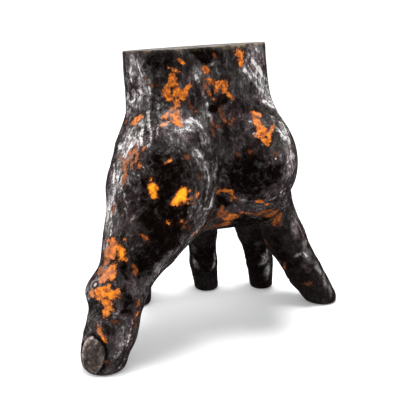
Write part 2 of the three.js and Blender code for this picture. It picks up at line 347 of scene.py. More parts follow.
# ---------------------------------------------------------------- carved relief
# Read off the photograph and laid onto the hand, eleven of the PATCHES after comparing where the orange
# of a render and of the photograph differed: centre, long half axis and short half axis (mm), then for
# PATCHES how bright and how pale the orange is, and for PALE_AND_SHEEN and BLACK_AND_SHADE how strong.
# RELIEF and DOTS: height, half width, and where. Pale lines, partly seams in the stone and partly painted highlights
# along ridges: half width, and where.
# A patch's brightness is partly painted shade: patches on the underside and in the hollow of the palm are set dim.
PATCHES = [
    (-18.8, -15.3, 100.7, -0.4, 0.2, -2.4, -1.6, 0.6, 0.3, 0.85, 0), (-20.8, -14.5, 96.9, -1, 0.3, -2.2, -1.3, 0.7, 0.6, 0.82, 0),
    (-20.3, -15.1, 94.7, 0.6, -0.7, -1.3, -1.1, 0.3, -0.6, 0.9, 0), (-17.3, -15.9, 96.6, 2, -0.7, -0, -0.1, -0.2, -1.9, 0.8, 0),
    (-15.1, -16.6, 95.8, 1.2, -0.1, 1.9, 1.4, -0.4, -0.8, 0.92, 0), (-13.5, -16.9, 98.3, 1.2, -0.3, 1, 0.6, -0.1, -0.7, 0.8, 0),
    (-17.8, -16.6, 93.1, 1.3, -0.7, -0.8, -0.6, -0.2, -0.9, 0.75, 0.1), (-18.1, -17.6, 91.1, -0, -1, -1.5, -0.8, 0.1, -0.1, 0.62, 0.1),
    (-19.4, -19.2, 88.7, 1.9, -1, -0.7, -0.8, -0.8, -1.2, 0.75, 0.15), (-19, -20.7, 87, 2, -0.6, -0.4, -0.6, -0.9, -1.2, 0.8, 0.15),
    (-17.9, -21.5, 86, 0.9, -0.1, -0, -0.2, -0.5, -0.6, 0.8, 0.1), (-23.7, -20.1, 86.1, 1.8, -0.3, 0.6, 0.1, -0.8, -0.8, 0.7, 0.5),
    (-21.8, -18, 89.2, 1.2, -0.5, 0, -0.2, -0.6, -0.8, 0.62, 0.1), (-18.1, -15.6, 99.2, 1.5, -0.5, 0, -0, 0, -1.3, 0.78, 0),
    (-19.1, -15.5, 95.3, 0.8, -0.5, -0.7, -0.7, 0.1, -0.7, 0.78, 0), (-22.9, -18.5, 88.3, 1.3, -0.6, 0, -0.3, -1, -1.2, 0.7, 0.35),
    (-20, -17.6, 90.5, 0.3, -0.7, -0.8, -0.8, -0.1, -0.4, 0.7, 0.1), (-16, -16.4, 107.3, 0.9, -0.2, -1, -0.5, 0.1, -0.4, 0.85, 0),
    (-17.9, -15.7, 104, 1.6, -0.6, -0.7, -0.2, 0.1, -0.5, 0.82, 0.1), (-31.2, -11.4, 86.9, 1.1, -2.6, -0, -0.5, -0.9, -1.1, 0.8, 0.2),
    (-32, -12.1, 85.6, 0.1, -1.4, -0.6, -0.5, 0.5, -0.4, 0.8, 0.3), (-29.9, -12.7, 87.7, 0.6, -0.4, 0.4, 0.1, -0.6, -0.3, 0.6, 0.6),
    (-27.8, -9.6, 101.1, 0.3, -0.3, -0.7, -0.3, 0.3, -0.2, 0.35, 0.9), (-25.1, -11.8, 98.7, 0.5, -0.4, 0, -0, 0, -0.4, 0.4, 0.3),
    (-23.4, -13, 98.8, 0.5, -0.3, 0, -0, 0, -0.4, 0.35, 0.3), (-11.4, -18.7, 89.7, 0.7, 0.1, -0, -0.1, -0.2, -0.5, 0.6, 0.1),
    (-12.8, -17.9, 91.7, 0.7, -0.4, -1.1, -0.5, -0.1, -0.3, 0.3, 0.1), (-33.6, -5.4, 85.1, -0.4, -0.7, -0.8, -0.1, 0.7, -0.2, 0.5, 0.5),
    (6.4, -16.1, 109.5, 1.9, 0.6, -0, 0, -0, -1.5, 0.8, 0), (6.9, -15.9, 106.7, 0.8, 0.2, -1.6, -1.5, -0.5, -0.4, 0.9, 0),
    (5.5, -16.3, 110.6, 1.1, 0.3, -0, 0, -0, -0.5, 0.6, 0.4), (-7.1, -17.8, 104.1, 1.5, -0.1, -0.9, -0.7, 0, -1.1, 0.85, 0),
    (-4, -17.8, 109, 0.5, 0, -0.6, -0.4, -0, -0.3, 0.4, 0), (-5.2, -17.8, 100, 1.8, -0, -0.6, -0.4, 0, -1, 0.8, 0),
    (-2.1, -17.7, 99.4, 2.4, 0.2, -0.1, 0, 0, -1.1, 0.8, 0), (-2.6, -17.8, 97.5, 0.4, 0, -2.1, -1.2, -0.1, -0.1, 0.9, 0),
    (0.2, -17.5, 98.1, 0.7, 0.1, -2.1, -1.5, -0.2, -0.3, 0.85, 0), (1.6, -17.3, 95.4, 1.5, 0.2, -1.3, -0.6, -0.1, -0.5, 0.7, 0),
    (3.1, -17.1, 94.2, 1, 0.2, -0.5, -0.4, -0.1, -0.6, 0.7, 0), (-4.1, -17.8, 93.8, 1, 0, -0, 0, 0, -0.7, 0.8, 0),
    (-6, -17.8, 96, 0.8, -0, -1.3, -0.5, 0, -0.3, 0.55, 0), (-7.6, -17.7, 98.3, 0.2, -0, -1.9, -1, 0.1, -0.1, 0.45, 0.5),
    (11.6, -18.4, 87.8, 1.5, -0.7, -0.8, -0.8, -0.7, -0.9, 0.85, 0.1), (13.8, -18.5, 87.7, 1.1, 0, -0, -0.3, -0.7, -0.8, 0.7, 0.6),
    (11.8, -20.6, 85.1, 0.4, -1.8, -2.1, -1.5, -0.2, -0.5, 0.85, 0), (12.7, -22.9, 82.5, 0.7, -1.6, -2, -1.8, -0.2, -0.8, 0.9, 0),
    (13.5, -24.7, 79.7, 0.4, -1.1, -2.1, -1.9, -0.1, -0.5, 0.85, 0), (17, -22.6, 82.7, 2.3, 1.7, 1.6, 0.7, -0.3, -0.5, 0.7, 0.3),
    (15, -24.1, 80.9, 1.6, -0, -0.1, -0.3, -0.6, -1, 0.75, 0.1), (14.4, -25.8, 77.3, 0.6, -0, -0, -0.1, -0.1, -0.4, 0.6, 0),
    (10.6, -23.5, 80.8, 0.4, -0.9, -1.3, -1, 0.1, -0.4, 0.7, 0.4), (-35.7, -17.7, 76.1, -0.2, -0.7, -1, -0.6, 0.8, -0.1, 0.55, 0.5),
    (-0.9, -17.7, 88.6, 0.9, 0, -2.3, -0.9, -0.1, -0.2, 0.4, 0.25), (0.1, -17.8, 86.2, 0.7, -0.1, -1.2, -0.8, -0.1, -0.4, 0.5, 0.2),
    (3.1, -18.1, 85.8, -0.5, -0.2, -1.1, -0.7, 0.2, 0.3, 0.45, 0.2), (2.3, -18.3, 84.4, 0.6, -0.1, -0, -0, -0.1, -0.5, 0.7, 0.2),
    (-5.4, -19, 85.4, 1.1, -0, -1.3, -0.6, -0.3, -0.3, 0.4, 0.3), (-3.6, -18.8, 83.8, 1.1, 0.3, -0.1, -0.1, -0.1, -0.6, 0.45, 0.3),
    (-5.4, -20, 82.3, 0.9, 0.1, -1.1, -0.6, -0.4, -0.3, 0.35, 0.5), (-34.5, -19, 76.6, -1, -0.8, -2.5, -0.6, 0.9, 0.1, 0.55, 0.75),
    (-34, -21, 74.9, -0.6, -0.8, -1.9, -0.5, 0.5, 0, 0.6, 0.6), (-35.7, -20.6, 72.8, 0.1, -1.5, -1.8, -0.5, 0.4, -0.2, 0.55, 0.7),
    (-37.8, -18.5, 71.8, -0.6, -1.3, -2.6, -0.8, 1.2, -0.1, 0.55, 0.65), (-38.1, -15.4, 74.1, 0.1, -1.6, -1.1, -0.4, 0.6, -0.3, 0.5, 0.7),
    (-38.2, -20.5, 68.7, -0.2, -1.3, -2.2, -0.6, 0.8, -0.2, 0.55, 0.6), (-39.1, -20.5, 66.2, 0.2, -1, -1.1, -0.5, 0.6, -0.3, 0.5, 0.6),
    (-31.4, -21.1, 78.2, -0.2, -0.5, -1, -0.7, 0.6, -0.1, 0.65, 0.4), (-33.4, -22.9, 72.7, -0.1, -0.4, -0.8, -0.5, 0.4, -0, 0.75, 0.2),
    (-23.9, -26.7, 74.2, 0.8, -0, 0.4, 0.2, -0.2, -0.5, 0.95, 0.1), (-24.8, -26.6, 73.7, 0.6, -0, 0.3, 0.1, -0.1, -0.3, 0.4, 0.5),
    (-17.6, -26.8, 75.2, 1.3, 0, -0.1, -0.1, -0.2, -0.9, 0.4, 0.6), (-13.2, -27.5, 67.7, 0.1, -0, -0.8, -0.5, -0.2, 0, 0.3, 0.2),
    (-30.6, -27, 68.1, -0.3, -0.3, -1, -0.6, 0.3, 0.1, 0.9, 0), (-30.5, -27.9, 65.6, 0.8, -0.8, -1.7, -1.5, 0.4, -0.9, 1, 0),
    (-30.2, -28.6, 63.4, 0.8, -0.7, -1.6, -1.2, 0.2, -0.7, 1, 0), (-28.9, -28.6, 65.1, 0.6, -0.3, -0.4, -0.3, -0, -0.5, 0.85, 0.1),
    (-20.5, -29.7, 62.5, 2.5, 0.4, 1.6, 1.5, 0, -1.9, 1, 0), (-21.8, -30, 60.9, 2.5, 0.2, 0.6, 0.7, -0, -2.1, 1, 0),
    (-19.6, -29.7, 61, 0.9, 0.1, -1.7, -1.4, -0.2, -0.5, 1, 0), (-19.3, -29.4, 63.8, 1.6, 0.2, -0.2, -0.1, -0.2, -1.4, 1, 0),
    (-23.9, -30.1, 60.2, 1.1, 0, -0.1, -0, -0.1, -0.8, 0.95, 0), (-17.3, -29.1, 63.5, 0.7, 0.2, 0.4, 0.3, 0, -0.4, 0.8, 0.2),
    (-17, -29.1, 60.6, 0.9, 0.3, -0.6, -0.4, -0.1, -0.5, 0.5, 0.4), (-18.2, -29.3, 59.3, 0.7, 0.2, -0.1, 0, 0, -0.4, 0.55, 0.3),
    (-16.3, -28.8, 58.8, 0.6, 0.2, -0.1, 0, 0, -0.4, 0.45, 0.4), (-14.1, -28.1, 61.7, 1, 0.4, 0.3, 0.4, 0.2, -0.7, 0.75, 0.3),
    (-25.9, -31.3, 53.4, 0.7, 0.1, -0.5, -0.3, -0.2, -0.4, 0.75, 0), (-20.5, -29.4, 52.8, 0.8, 0.4, -0.2, 0, 0, -0.5, 0.7, 0.1),
    (-42.6, -20.7, 57.4, -0.2, -1.3, -1.1, -0.4, 0.9, -0.3, 0.45, 0.5), (-35.2, -32.9, 50, 1.3, -0.5, -0.7, -0.3, -0.1, -0.5, 0.55, 0),
    (-34.4, -33.2, 49.6, 0.3, -0.2, -0.5, -0.4, 0, -0.2, 0.7, 0), (7.7, -24.7, 74.9, 1, -0.7, -0.4, -0.3, -0, -0.7, 0.38, 0),
    (3.6, -22.1, 73.8, 0.7, -0.6, -0.5, -0.3, 0.1, -0.6, 0.3, 0), (16.9, -26.8, 73.8, -0.1, -0.2, -1.1, -1, -0.1, 0.1, 0.32, 0),
    (-0.6, -14.9, 57.9, 0.9, -0.2, 0.9, 0.8, 0.7, -0.7, 0.75, 0), (1.3, -15.9, 58.8, 1.4, -1.1, 0.5, 0.3, 0.5, -0.9, 0.7, 0),
    (3, -17, 58.5, 1.1, -0.8, -0.4, 0.1, 1, -1.2, 0.68, 0), (4.2, -16.7, 56.7, 0.7, 0.6, -1.3, -0.3, 0.7, -0.4, 0.65, 0),
    (4.1, -15.1, 55.3, 0.3, 0.6, -0.9, -0.3, 0.4, -0.1, 0.6, 0), (12.9, -22.5, 55.2, 1.4, 0, -0.6, 0.1, 0.8, -0.9, 0.7, 0),
    (16.5, -21.7, 53.6, 0.8, -0.5, 0.5, 0.5, 0.6, -0.6, 0.72, 0), (1.7, -11.7, 50.2, 0.6, 0.3, -1.7, -1, 0, -0.2, 0.5, 0),
    (1.4, -11.4, 48.3, 2.8, 0.4, -0.6, 0, 0.3, -1.6, 0.5, 0), (5.7, -11.2, 46.6, 2.9, -0, -0.8, 0.1, 0.8, -1.7, 0.62, 0),
    (9.4, -13.4, 48.8, 0.9, 0.2, -0.8, -0.2, 0.5, -0.6, 0.75, 0.1), (12.6, -14.1, 48.3, 1.7, -0.3, -0.3, 0.1, 0.3, -0.4, 0.5, 0.1),
    (16.2, -13.9, 47.3, 1.9, -0.1, -0.1, 0.1, 0.4, -0.4, 0.45, 0.1), (18.7, -15.8, 48.9, 3.1, 0.6, -0.3, 0.3, 1.3, -1.1, 0.45, 0),
    (23.6, -12.2, 46.4, 3.1, 2.2, -1, -0.3, 1.2, -1.5, 0.5, 0), (29.5, -4.4, 41.4, 1.2, 1.7, -2.8, -2.1, -0.2, -0.1, 0.5, 0),
    (31.2, -3.6, 39.3, 0.8, 0.2, -1.3, -0.9, 0.2, -0.5, 0.4, 0), (-7.9, -16.6, 44.9, 2.6, 2.4, 0, 0.1, 0.8, -0.8, 0.35, 0.1),
    (-1.4, -8.8, 42.5, 2.7, 0.4, 0.5, 0.4, 1.1, -0.9, 0.35, 0.1), (1.9, -8.6, 42.9, 1.5, -0.4, 0.4, 0.5, 0.9, -1, 0.4, 0),
    (4.4, -9.3, 43.5, 1.9, -0.5, 0.5, 0.6, 1, -1.3, 0.5, 0), (-18.5, -28.4, 52.1, 1, 0.5, 0.2, 0.3, 0.3, -0.7, 0.15, 0.2),
    (-16.2, -26, 48.9, 0.8, 0.4, 0.5, 0.6, 0.7, -0.7, 0.15, 0.2), (-13.7, -22.3, 45.4, 0.6, 0.1, 0.6, 0.6, 0.8, -0.6, 0.7, 0.3),
    (-11.9, -22.2, 47.7, 0.6, 0.1, 0.6, 0.5, 0.7, -0.5, 0.2, 0.3), (-19.3, -28.5, 50.3, 0.9, 0.6, -0.3, 0, 0.1, -0.6, 0.15, 0.2),
    (-44.9, -28.1, 46.1, 0.7, -1.9, -1.5, -1.3, 1.3, -1.2, 0.75, 0.2), (-42.8, -31.1, 44.3, 0.1, -0.8, -1.9, -1.4, 0.9, -0.4, 0.95, 0),
    (-43.5, -29.8, 46.1, 1.2, -1.1, 0.2, -0.1, -0.4, -1.1, 0.85, 0), (-45.5, -28.8, 43.1, -0.2, -0.7, -1.7, -1.4, 1.7, -0.4, 0.75, 0.3),
    (-42.7, -31.8, 42.4, 1.4, -0.9, 0.1, -0.1, -0.3, -1, 0.92, 0), (-45.6, -25.8, 47.5, 0.8, -1.5, 0.4, -0.1, -0.3, -0.6, 0.7, 0.2),
    (-46.4, -27.1, 43.6, 0, -1.4, -1.9, -1.3, 2.1, -0.9, 0.62, 0.35), (-47.3, -27.7, 40.4, -0.2, -0.8, -1.2, -1, 1.6, -0.4, 0.55, 0.6),
    (-49.3, -28.1, 37.3, -0.5, -1, -1, -0.6, 1.3, -0.2, 0.5, 0.7), (-53, -30, 30.4, -0.2, -0.5, -1.5, -0.6, 1, -0.3, 0.75, 0.3),
    (-45.3, -36.3, 30.5, 0.1, -0.2, -1, -0.8, 0.1, -0.1, 0.8, 0), (-41.4, -30.6, 48.7, 0.6, -0.4, 0.3, 0.1, -0.2, -0.3, 0.7, 0),
    (-45.7, -30.8, 39.5, -1, -0.2, -1.4, -0.8, 1.1, 0.4, 0.8, 0.15), (-47.6, -30.8, 37.5, -1.1, -0.9, -1.9, -1.3, 1.7, 0.2, 0.7, 0.45),
    (-49.4, -30.8, 35.6, -0.8, -0.6, -1.4, -1, 1.5, 0.1, 0.65, 0.5), (-46.2, -32.5, 36.9, -0.9, -0.7, -1.7, -0.8, 0.7, 0.2, 0.82, 0.1),
    (-49.9, -26.6, 37, -0.9, -0.9, -1.3, -0.4, 1.2, -0.2, 0.5, 0.7), (-38.9, -34, 39, 0.2, -0.2, -1.6, -0.9, 0.1, -0.1, 0.45, 0),
    (-39, -34.1, 38.1, 0.7, -0.1, -0.1, -0, -0.1, -0.6, 0.95, 0.1), (-50, -33.3, 31.9, 2.1, -2.3, -0.4, -0.8, -0.2, -1.7, 0.92, 0.05),
    (-51.6, -32.2, 30.2, 1.1, -1.7, -0.8, -0.7, 0.6, -1.1, 0.85, 0.1), (-48, -35.1, 31.2, 1.9, -1, 0.1, -0.2, -0.5, -1.9, 0.95, 0),
    (-45.6, -35.9, 31.7, 1, 0.3, 1.3, 1, -0.5, -0.6, 0.85, 0.1), (-49.2, -35, 28, 0.9, -0.8, -1.9, -1.4, 0.8, -1, 0.9, 0.05),
    (-49.6, -35, 25.1, -0.1, -0.3, -1.7, -1.2, 0.8, -0.1, 0.82, 0.1), (-50.4, -34.9, 23.7, -0.1, -0.2, -0.8, -0.6, 0.4, -0.1, 0.75, 0.1),
    (-47.7, -35.9, 26.3, 0.5, -0.2, -1.1, -0.7, 0.3, -0.5, 0.8, 0.1), (-48.3, -33.7, 33.6, -0.5, -0.6, -1.5, -0.7, 0.5, 0, 0.8, 0.1),
    (-52.1, -35.4, 18.6, 0.8, -1, -1.6, -0.8, 0.5, -0.6, 0.6, 0.35), (-51.2, -36.4, 16.3, 0.7, -0.6, -1.5, -0.8, 0.4, -0.6, 0.88, 0.05),
    (-50.8, -36.7, 15, 0.3, -0.2, -0.8, -0.6, 0.3, -0.4, 0.85, 0), (-38.2, -35.3, 27, -0.2, 0.1, -1.5, -0.5, -0.3, 0.3, 0.6, 0),
    (-38.6, -34.6, 22.4, -0.2, 0.1, -1.1, -0.6, -0.6, 0.4, 0.72, 0), (-39.3, -34.9, 18.9, -0.5, -0.4, -1.6, -0.5, -0.5, 0.4, 0.4, 0.1),
    (-50, -35.3, 6.3, 0.8, -0.1, -0.1, -0, 0.1, -0.6, 0.35, 0.1), (-47.5, -36.7, 21.8, 1.5, -0.5, -0.7, -0.3, -0.1, -0.7, 0.3, 0),
    (28.4, 3.8, 28.6, 0.2, -1.4, -0.1, 0.2, 0.6, -1, 0.35, 0), (35.5, -0.5, 17.9, -0.2, -1.3, 1.5, 0.3, -0.6, -0.2, 0.5, 0),
    (43.9, -7.2, 11.2, 2.1, -0.6, -0.5, 0, 0.3, -1.1, 0.22, 0),
]

SPOTS = [
    (-19.1, -15.3, 96.2, -0, -0.1, -0.8, -0.5, 0.2, -0), (-16.1, -16.2, 98.5, 0.8, -0.2, -0.7, -0.4, 0.1, -0.5), (-23.3, -19.3, 87.1, 0.7, -0.6, -0.3, -0.4, -0.4, -0.6),
    (-4.9, -17.8, 97.6, 1.3, 0, -0, 0, 0, -1.1), (-31, -27.1, 67.4, 0.6, -0.3, 0, -0, -0.1, -0.4), (-41.8, -30.8, 47.4, 0.8, -0.6, 0.1, -0.1, -0.2, -0.6),
    (-49.1, -34.6, 30.4, 0.4, -0.2, 0, -0, -0.1, -0.3), (-46.6, -36.1, 29.2, 0.3, -0.2, -0.7, -0.5, 0.1, -0.3), (5.3, -16.4, 108.1, 0.5, 0.1, -0.6, -0.5, -0.1, -0.2),
    (13.8, -24.5, 80.1, 0.6, -0.1, -0, -0.1, -0.2, -0.4), (-20.4, -29.8, 59.6, 0.5, 0.1, -0.1, -0, 0, -0.4), (9.9, -22.3, 82.2, 0.5, -0.2, 0, -0.1, -0.3, -0.5),
    (-44.3, -31.6, 40, -0.2, -0.2, -0.8, -0.4, 0.3, 0),
]

# Pale zones: pale grey stone, and painted highlights along the lit edges of the wrist and thenar and the sides of the
# fingers.
PALE_AND_SHEEN = [
    (-32, -2.2, 102.3, 0.1, 0.7, -7.2, -0.5, 1.9, -0.1, 0.6), (-31.9, -1.7, 92.9, 0, 0.6, -4.4, -0.4, 1.9, -0.1, 0.5),
    (18.8, -10.5, 105.3, 0.6, 0, -5.1, -1.5, -1.3, -0, 0.6), (22.3, -8, 96.9, 1.4, 0.7, -3.7, -0.9, -1.7, -0.1, 0.7),
    (-30.4, -6.5, 105.3, -0.8, 1.7, -7, -3.1, 5, 0.4, 0.85), (-28.5, -8.7, 99.1, 1.9, -2.1, -4.6, -2.3, 2.7, -1.6, 0.85),
    (-30.9, -5.4, 91.7, -1.7, 1, -6.3, -2.3, 6.7, 0.4, 0.95), (-27.2, -11.4, 92.2, 1.2, -3.7, -3.3, -1.7, 1.1, -1.1, 0.6),
    (-24.9, -12.1, 103.4, 0.4, -0.2, -2.7, -1.5, 1.1, -0.3, 0.35), (-23.6, -13.3, 94.8, 0.4, -1.3, -3, -1.9, 1.1, -0.6, 0.6),
    (-24.4, -14.6, 91.4, 1.6, -2.1, -1.1, -1.1, -0.4, -1.4, 0.6), (-34.4, -15.4, 80.3, -3.1, -1.9, -6.2, -2.6, 6, 0.7, 1.1),
    (-39.2, -17.4, 70.2, -2.8, -3.2, -9.1, -2.4, 5, -0.2, 1.2), (-43, -17.9, 57.9, -2.4, -4.3, -8.8, -1.4, 5.7, -1.2, 1.2),
    (-46.4, -23.7, 47.1, -1, -1.6, -4.5, -1, 3.1, -0.7, 0.6), (-15.2, -21.5, 85.8, 9.3, 1.4, 0.5, -0.3, -2.6, -3.8, 1.15),
    (-20.5, -24.3, 81.3, 8.1, -1.7, -1.1, -0.8, -1.4, -2.9, 0.65), (-25.1, -20.5, 84.8, 1, -2.8, -2.7, -3.7, 0.3, -1.9, 0.5),
    (-9.5, -22.3, 81.4, 3.3, -0.3, -4, -3.4, -2.3, -1.5, 0.7), (-10, -17.6, 103.4, 1.1, -0.1, -2.9, -2.4, 0.3, -0.8, 0.55),
    (-6.9, -18.3, 89.3, 2.3, -0.9, -5.2, -1.9, -0.4, -0.6, 0.5), (13.5, -13.2, 104.9, 3.8, 1.2, -7.6, -5.5, -2.1, -1.3, 1.15),
    (17.4, -12.4, 96.6, 5.3, 1.8, -3.7, -3.2, -1.8, -2.3, 1), (-4.4, -17.8, 99.8, 2.6, 0.1, -8.9, -4.4, -0.1, -1, 0.55),
    (-54, -27.1, 30.5, -0.2, -2, -1.7, -0.6, 2, -1, 0.9), (22.8, -11.9, 89.6, 2.7, -2.5, -5.8, -2.9, -3.7, 0, 1.15),
    (22.9, -21.7, 80.6, 0.3, -4.1, -5.8, -3.8, -2.6, 0.1, 1.2), (23.5, -25.4, 69.9, 0.9, -0.2, -7.6, -3.4, -1.8, 0.4, 1),
    (-12.2, -25.8, 75.4, 3.3, 0, -4.1, -1.7, -0.8, -0.9, 0.75), (-7.1, -24.2, 66.3, 0.9, 0.9, -8.4, -2.5, -2, 0.5, 0.7),
    (-8.8, -23.5, 55, -2, 0.1, -4.8, -2.5, -2.8, 1.4, 0.7), (-12.6, -22.1, 46.6, 4.7, 0.7, 4.7, 1.7, 2.4, -1.7, 0.7),
    (-22.5, -28.8, 42.2, 6, 4.5, 3.3, 1.2, 2.2, -1.9, 0.5), (-30.9, -32.1, 36.1, 3, 0.5, 2.9, 2.2, 2.1, -2.5, 0.6),
    (-50, -29, 36.1, -2.3, -2.3, -3.7, -1.2, 2.4, -0.1, 0.7), (-54.9, -28.8, 20.9, -1.8, -4.3, -7.6, -0.5, 2.4, -1, 0.5),
    (-54.8, -32.9, 9.1, -0.3, 0.1, -6.6, -3.3, 3.6, -1.2, 0.6), (-45.4, -37.6, 15.1, -3.2, -0.1, -8.8, -2.3, -0.3, 1.4, 0.55),
    (-45.8, -36.5, 25.2, -0.4, 0, -2.1, -1.3, 0.2, 0.4, 0.7), (-19.7, -26, 77.6, 6.4, -0.6, -0.3, -0.5, -1.4, -3.9, 0.35),
    (9.4, -21.1, 55.8, 10.8, -7.1, -1.1, 1.1, 3.4, -4.5, 0.35), (31.4, -7.1, 50.2, 2.1, 1.6, 2.9, 2.4, 3.3, -2, 0.5),
    (41.1, -3.2, 34.1, 4.8, -1, -9, -4.6, -2.3, -0.5, 0.35), (48.5, -7.5, 14.8, 6.1, 0.2, -9.8, -3.1, -1, -0.6, 0.3),
    (-0.1, -20.1, 71.6, 3.6, -0.8, -0.1, 0.1, 0, -9.8, 0.25), (-32.8, -32.6, 51.9, 2.7, -0.3, -0.2, -0.8, -2.2, -6.4, 0.1),
    (33.5, 14.9, 17.3, 0.6, -0.6, -4.2, -3.4, -0.4, -0, 2), (35.4, 15.5, 11, 0.8, 1.4, -4.3, -2.5, -0.8, 0.3, 2),
    (30.3, 15, 22.5, 3, -0.2, -2, -1, 0.4, -2.1, 0.8), (2.5, 24.7, 13.4, 0.4, 0.3, -4.5, -0.9, 1.5, -0.5, 1.7),
    (11.2, 22.4, 15.1, -0.3, -0.5, -5.1, -1.7, -0.9, 0.5, 1.7), (10.5, 21.8, 24.6, 0, 0.9, -4, -1.8, -1.1, 0.4, 0.8),
    (1.8, 24.5, 22.8, 0.7, 0.8, -4.1, -0.8, 1.6, -0.5, 0.8), (39.5, -3.3, 35.6, 2, -0.5, -3.6, -3.2, -1.4, -0.6, 1.3),
    (44.1, -3.6, 27.9, 1.6, -0.1, -2.9, -2.7, -1.6, -0.3, 0.9), (40.9, -5.1, 25.1, 2.9, -0.1, -0.3, -0.1, -0.2, -1.1, 1.35),
    (46.1, -4.8, 23, 1.8, -0.8, -3.6, -2.9, -1.5, -0.2, 1), (48.6, -7.1, 16.5, 1.9, -0.5, -3.3, -1.9, -0.8, -0.3, 1.25),
    (51.6, -6.8, 11.3, 2.2, 0, -4, -2.4, -1.2, -0.2, 1.35), (54.9, -6.8, 6.1, 2.4, 0.5, -2.4, -1.7, -1.2, -0.7, 0.9),
    (43.8, -6.8, 18.5, 1.1, -0.8, -2.2, -1.6, 0, -0.7, 0.5), (-45.1, -37.3, 13, -1.8, 1.2, -7.6, -2.1, -0.6, 1.3, 0.7),
    (-52.9, -33.3, 21.9, -0.5, -1.8, -4.4, -2, 2.3, -0.7, 0.35),
]

# Black zones: dark stone, and painted shade on the palm's hollow, the lower front of the thenar and the fingers.
BLACK_AND_SHADE = [
    (-25.8, -11.5, 105.5, 0.7, -0.5, -1.5, -1.8, 1.5, -1.2, 0.5), (-31.2, -4.3, 97.4, 0.9, -2.3, 0.2, -0, 0.1, -1.1, 0.35),
    (-21.8, -14.1, 106.9, 4.1, -2.1, -1.6, -1.1, 0.6, -3.2, 0.35), (-2.1, -17.7, 92.7, 1, 0.1, -2.4, -4.5, -0.3, -1.3, 1),
    (-25, -28.6, 68, -2.2, -2, -7.7, -6, 1.2, 1.3, 0.9), (-27.2, -31.8, 52.9, -3.4, -3.7, -10.7, -8.8, -1.4, 2.9, 1),
    (-32.7, -33.8, 40.7, -3.7, 0.1, -5.9, -4.6, -1.2, 3.6, 0.9), (6.3, -24.1, 66, 0.1, 2.3, -12.2, -7.5, 5.6, 0.2, 0.62),
    (3.8, -22.3, 68, 2, -1.2, -3.8, -1.9, 1.9, -1.8, 0.3), (11.9, -26.2, 62.9, 4.1, -0.5, -2.5, -1.1, 1.1, -2.8, 0.25),
    (-7.5, -17.8, 109.3, 4.3, -0.2, 0.7, 0.3, -0, -1.7, 0.8), (3.6, -13.2, 53.5, 2.7, -1.6, 0.2, 0.5, 1.1, -2.3, 1),
    (14.7, -9.6, 43.2, 8.7, 0.4, -0.8, 1, 3.2, -3, 0.9), (6.6, 21.8, 15.9, -0.2, -0.6, -13.3, -6.3, 1.3, 0.3, 0.45),
    (29.4, 15.9, 15.1, 0.4, 0.2, -13.8, -6.1, 4.3, -0.7, 0.45), (34.4, -2.9, 24.3, 7.7, -0.8, -12.3, -2.4, 3.1, -3.2, 0.35),
    (-33.1, -26.9, 64.7, -0.3, -0.9, -3.3, -1.5, 0.9, -0.1, 0.6), (15.3, -27.3, 66.3, 0.3, 0.4, -3.9, -3.6, 0.1, 0.3, 0.7),
    (-42.7, -32.8, 39.4, 0.9, -1.1, -1.9, -1.5, 0.3, -0.8, 0.6), (-41.4, -34.2, 36.9, -1.1, -0.7, -2, -1.2, 0.3, 0.5, 0.5),
    (-43.2, -36.6, 30, 0.7, -0.4, -2.4, -1.7, -0.1, -0.3, 0.6), (-41.6, -36.5, 26.8, -1.1, -0.1, -1.7, -1.2, -0.3, 1.1, 0.45),
]

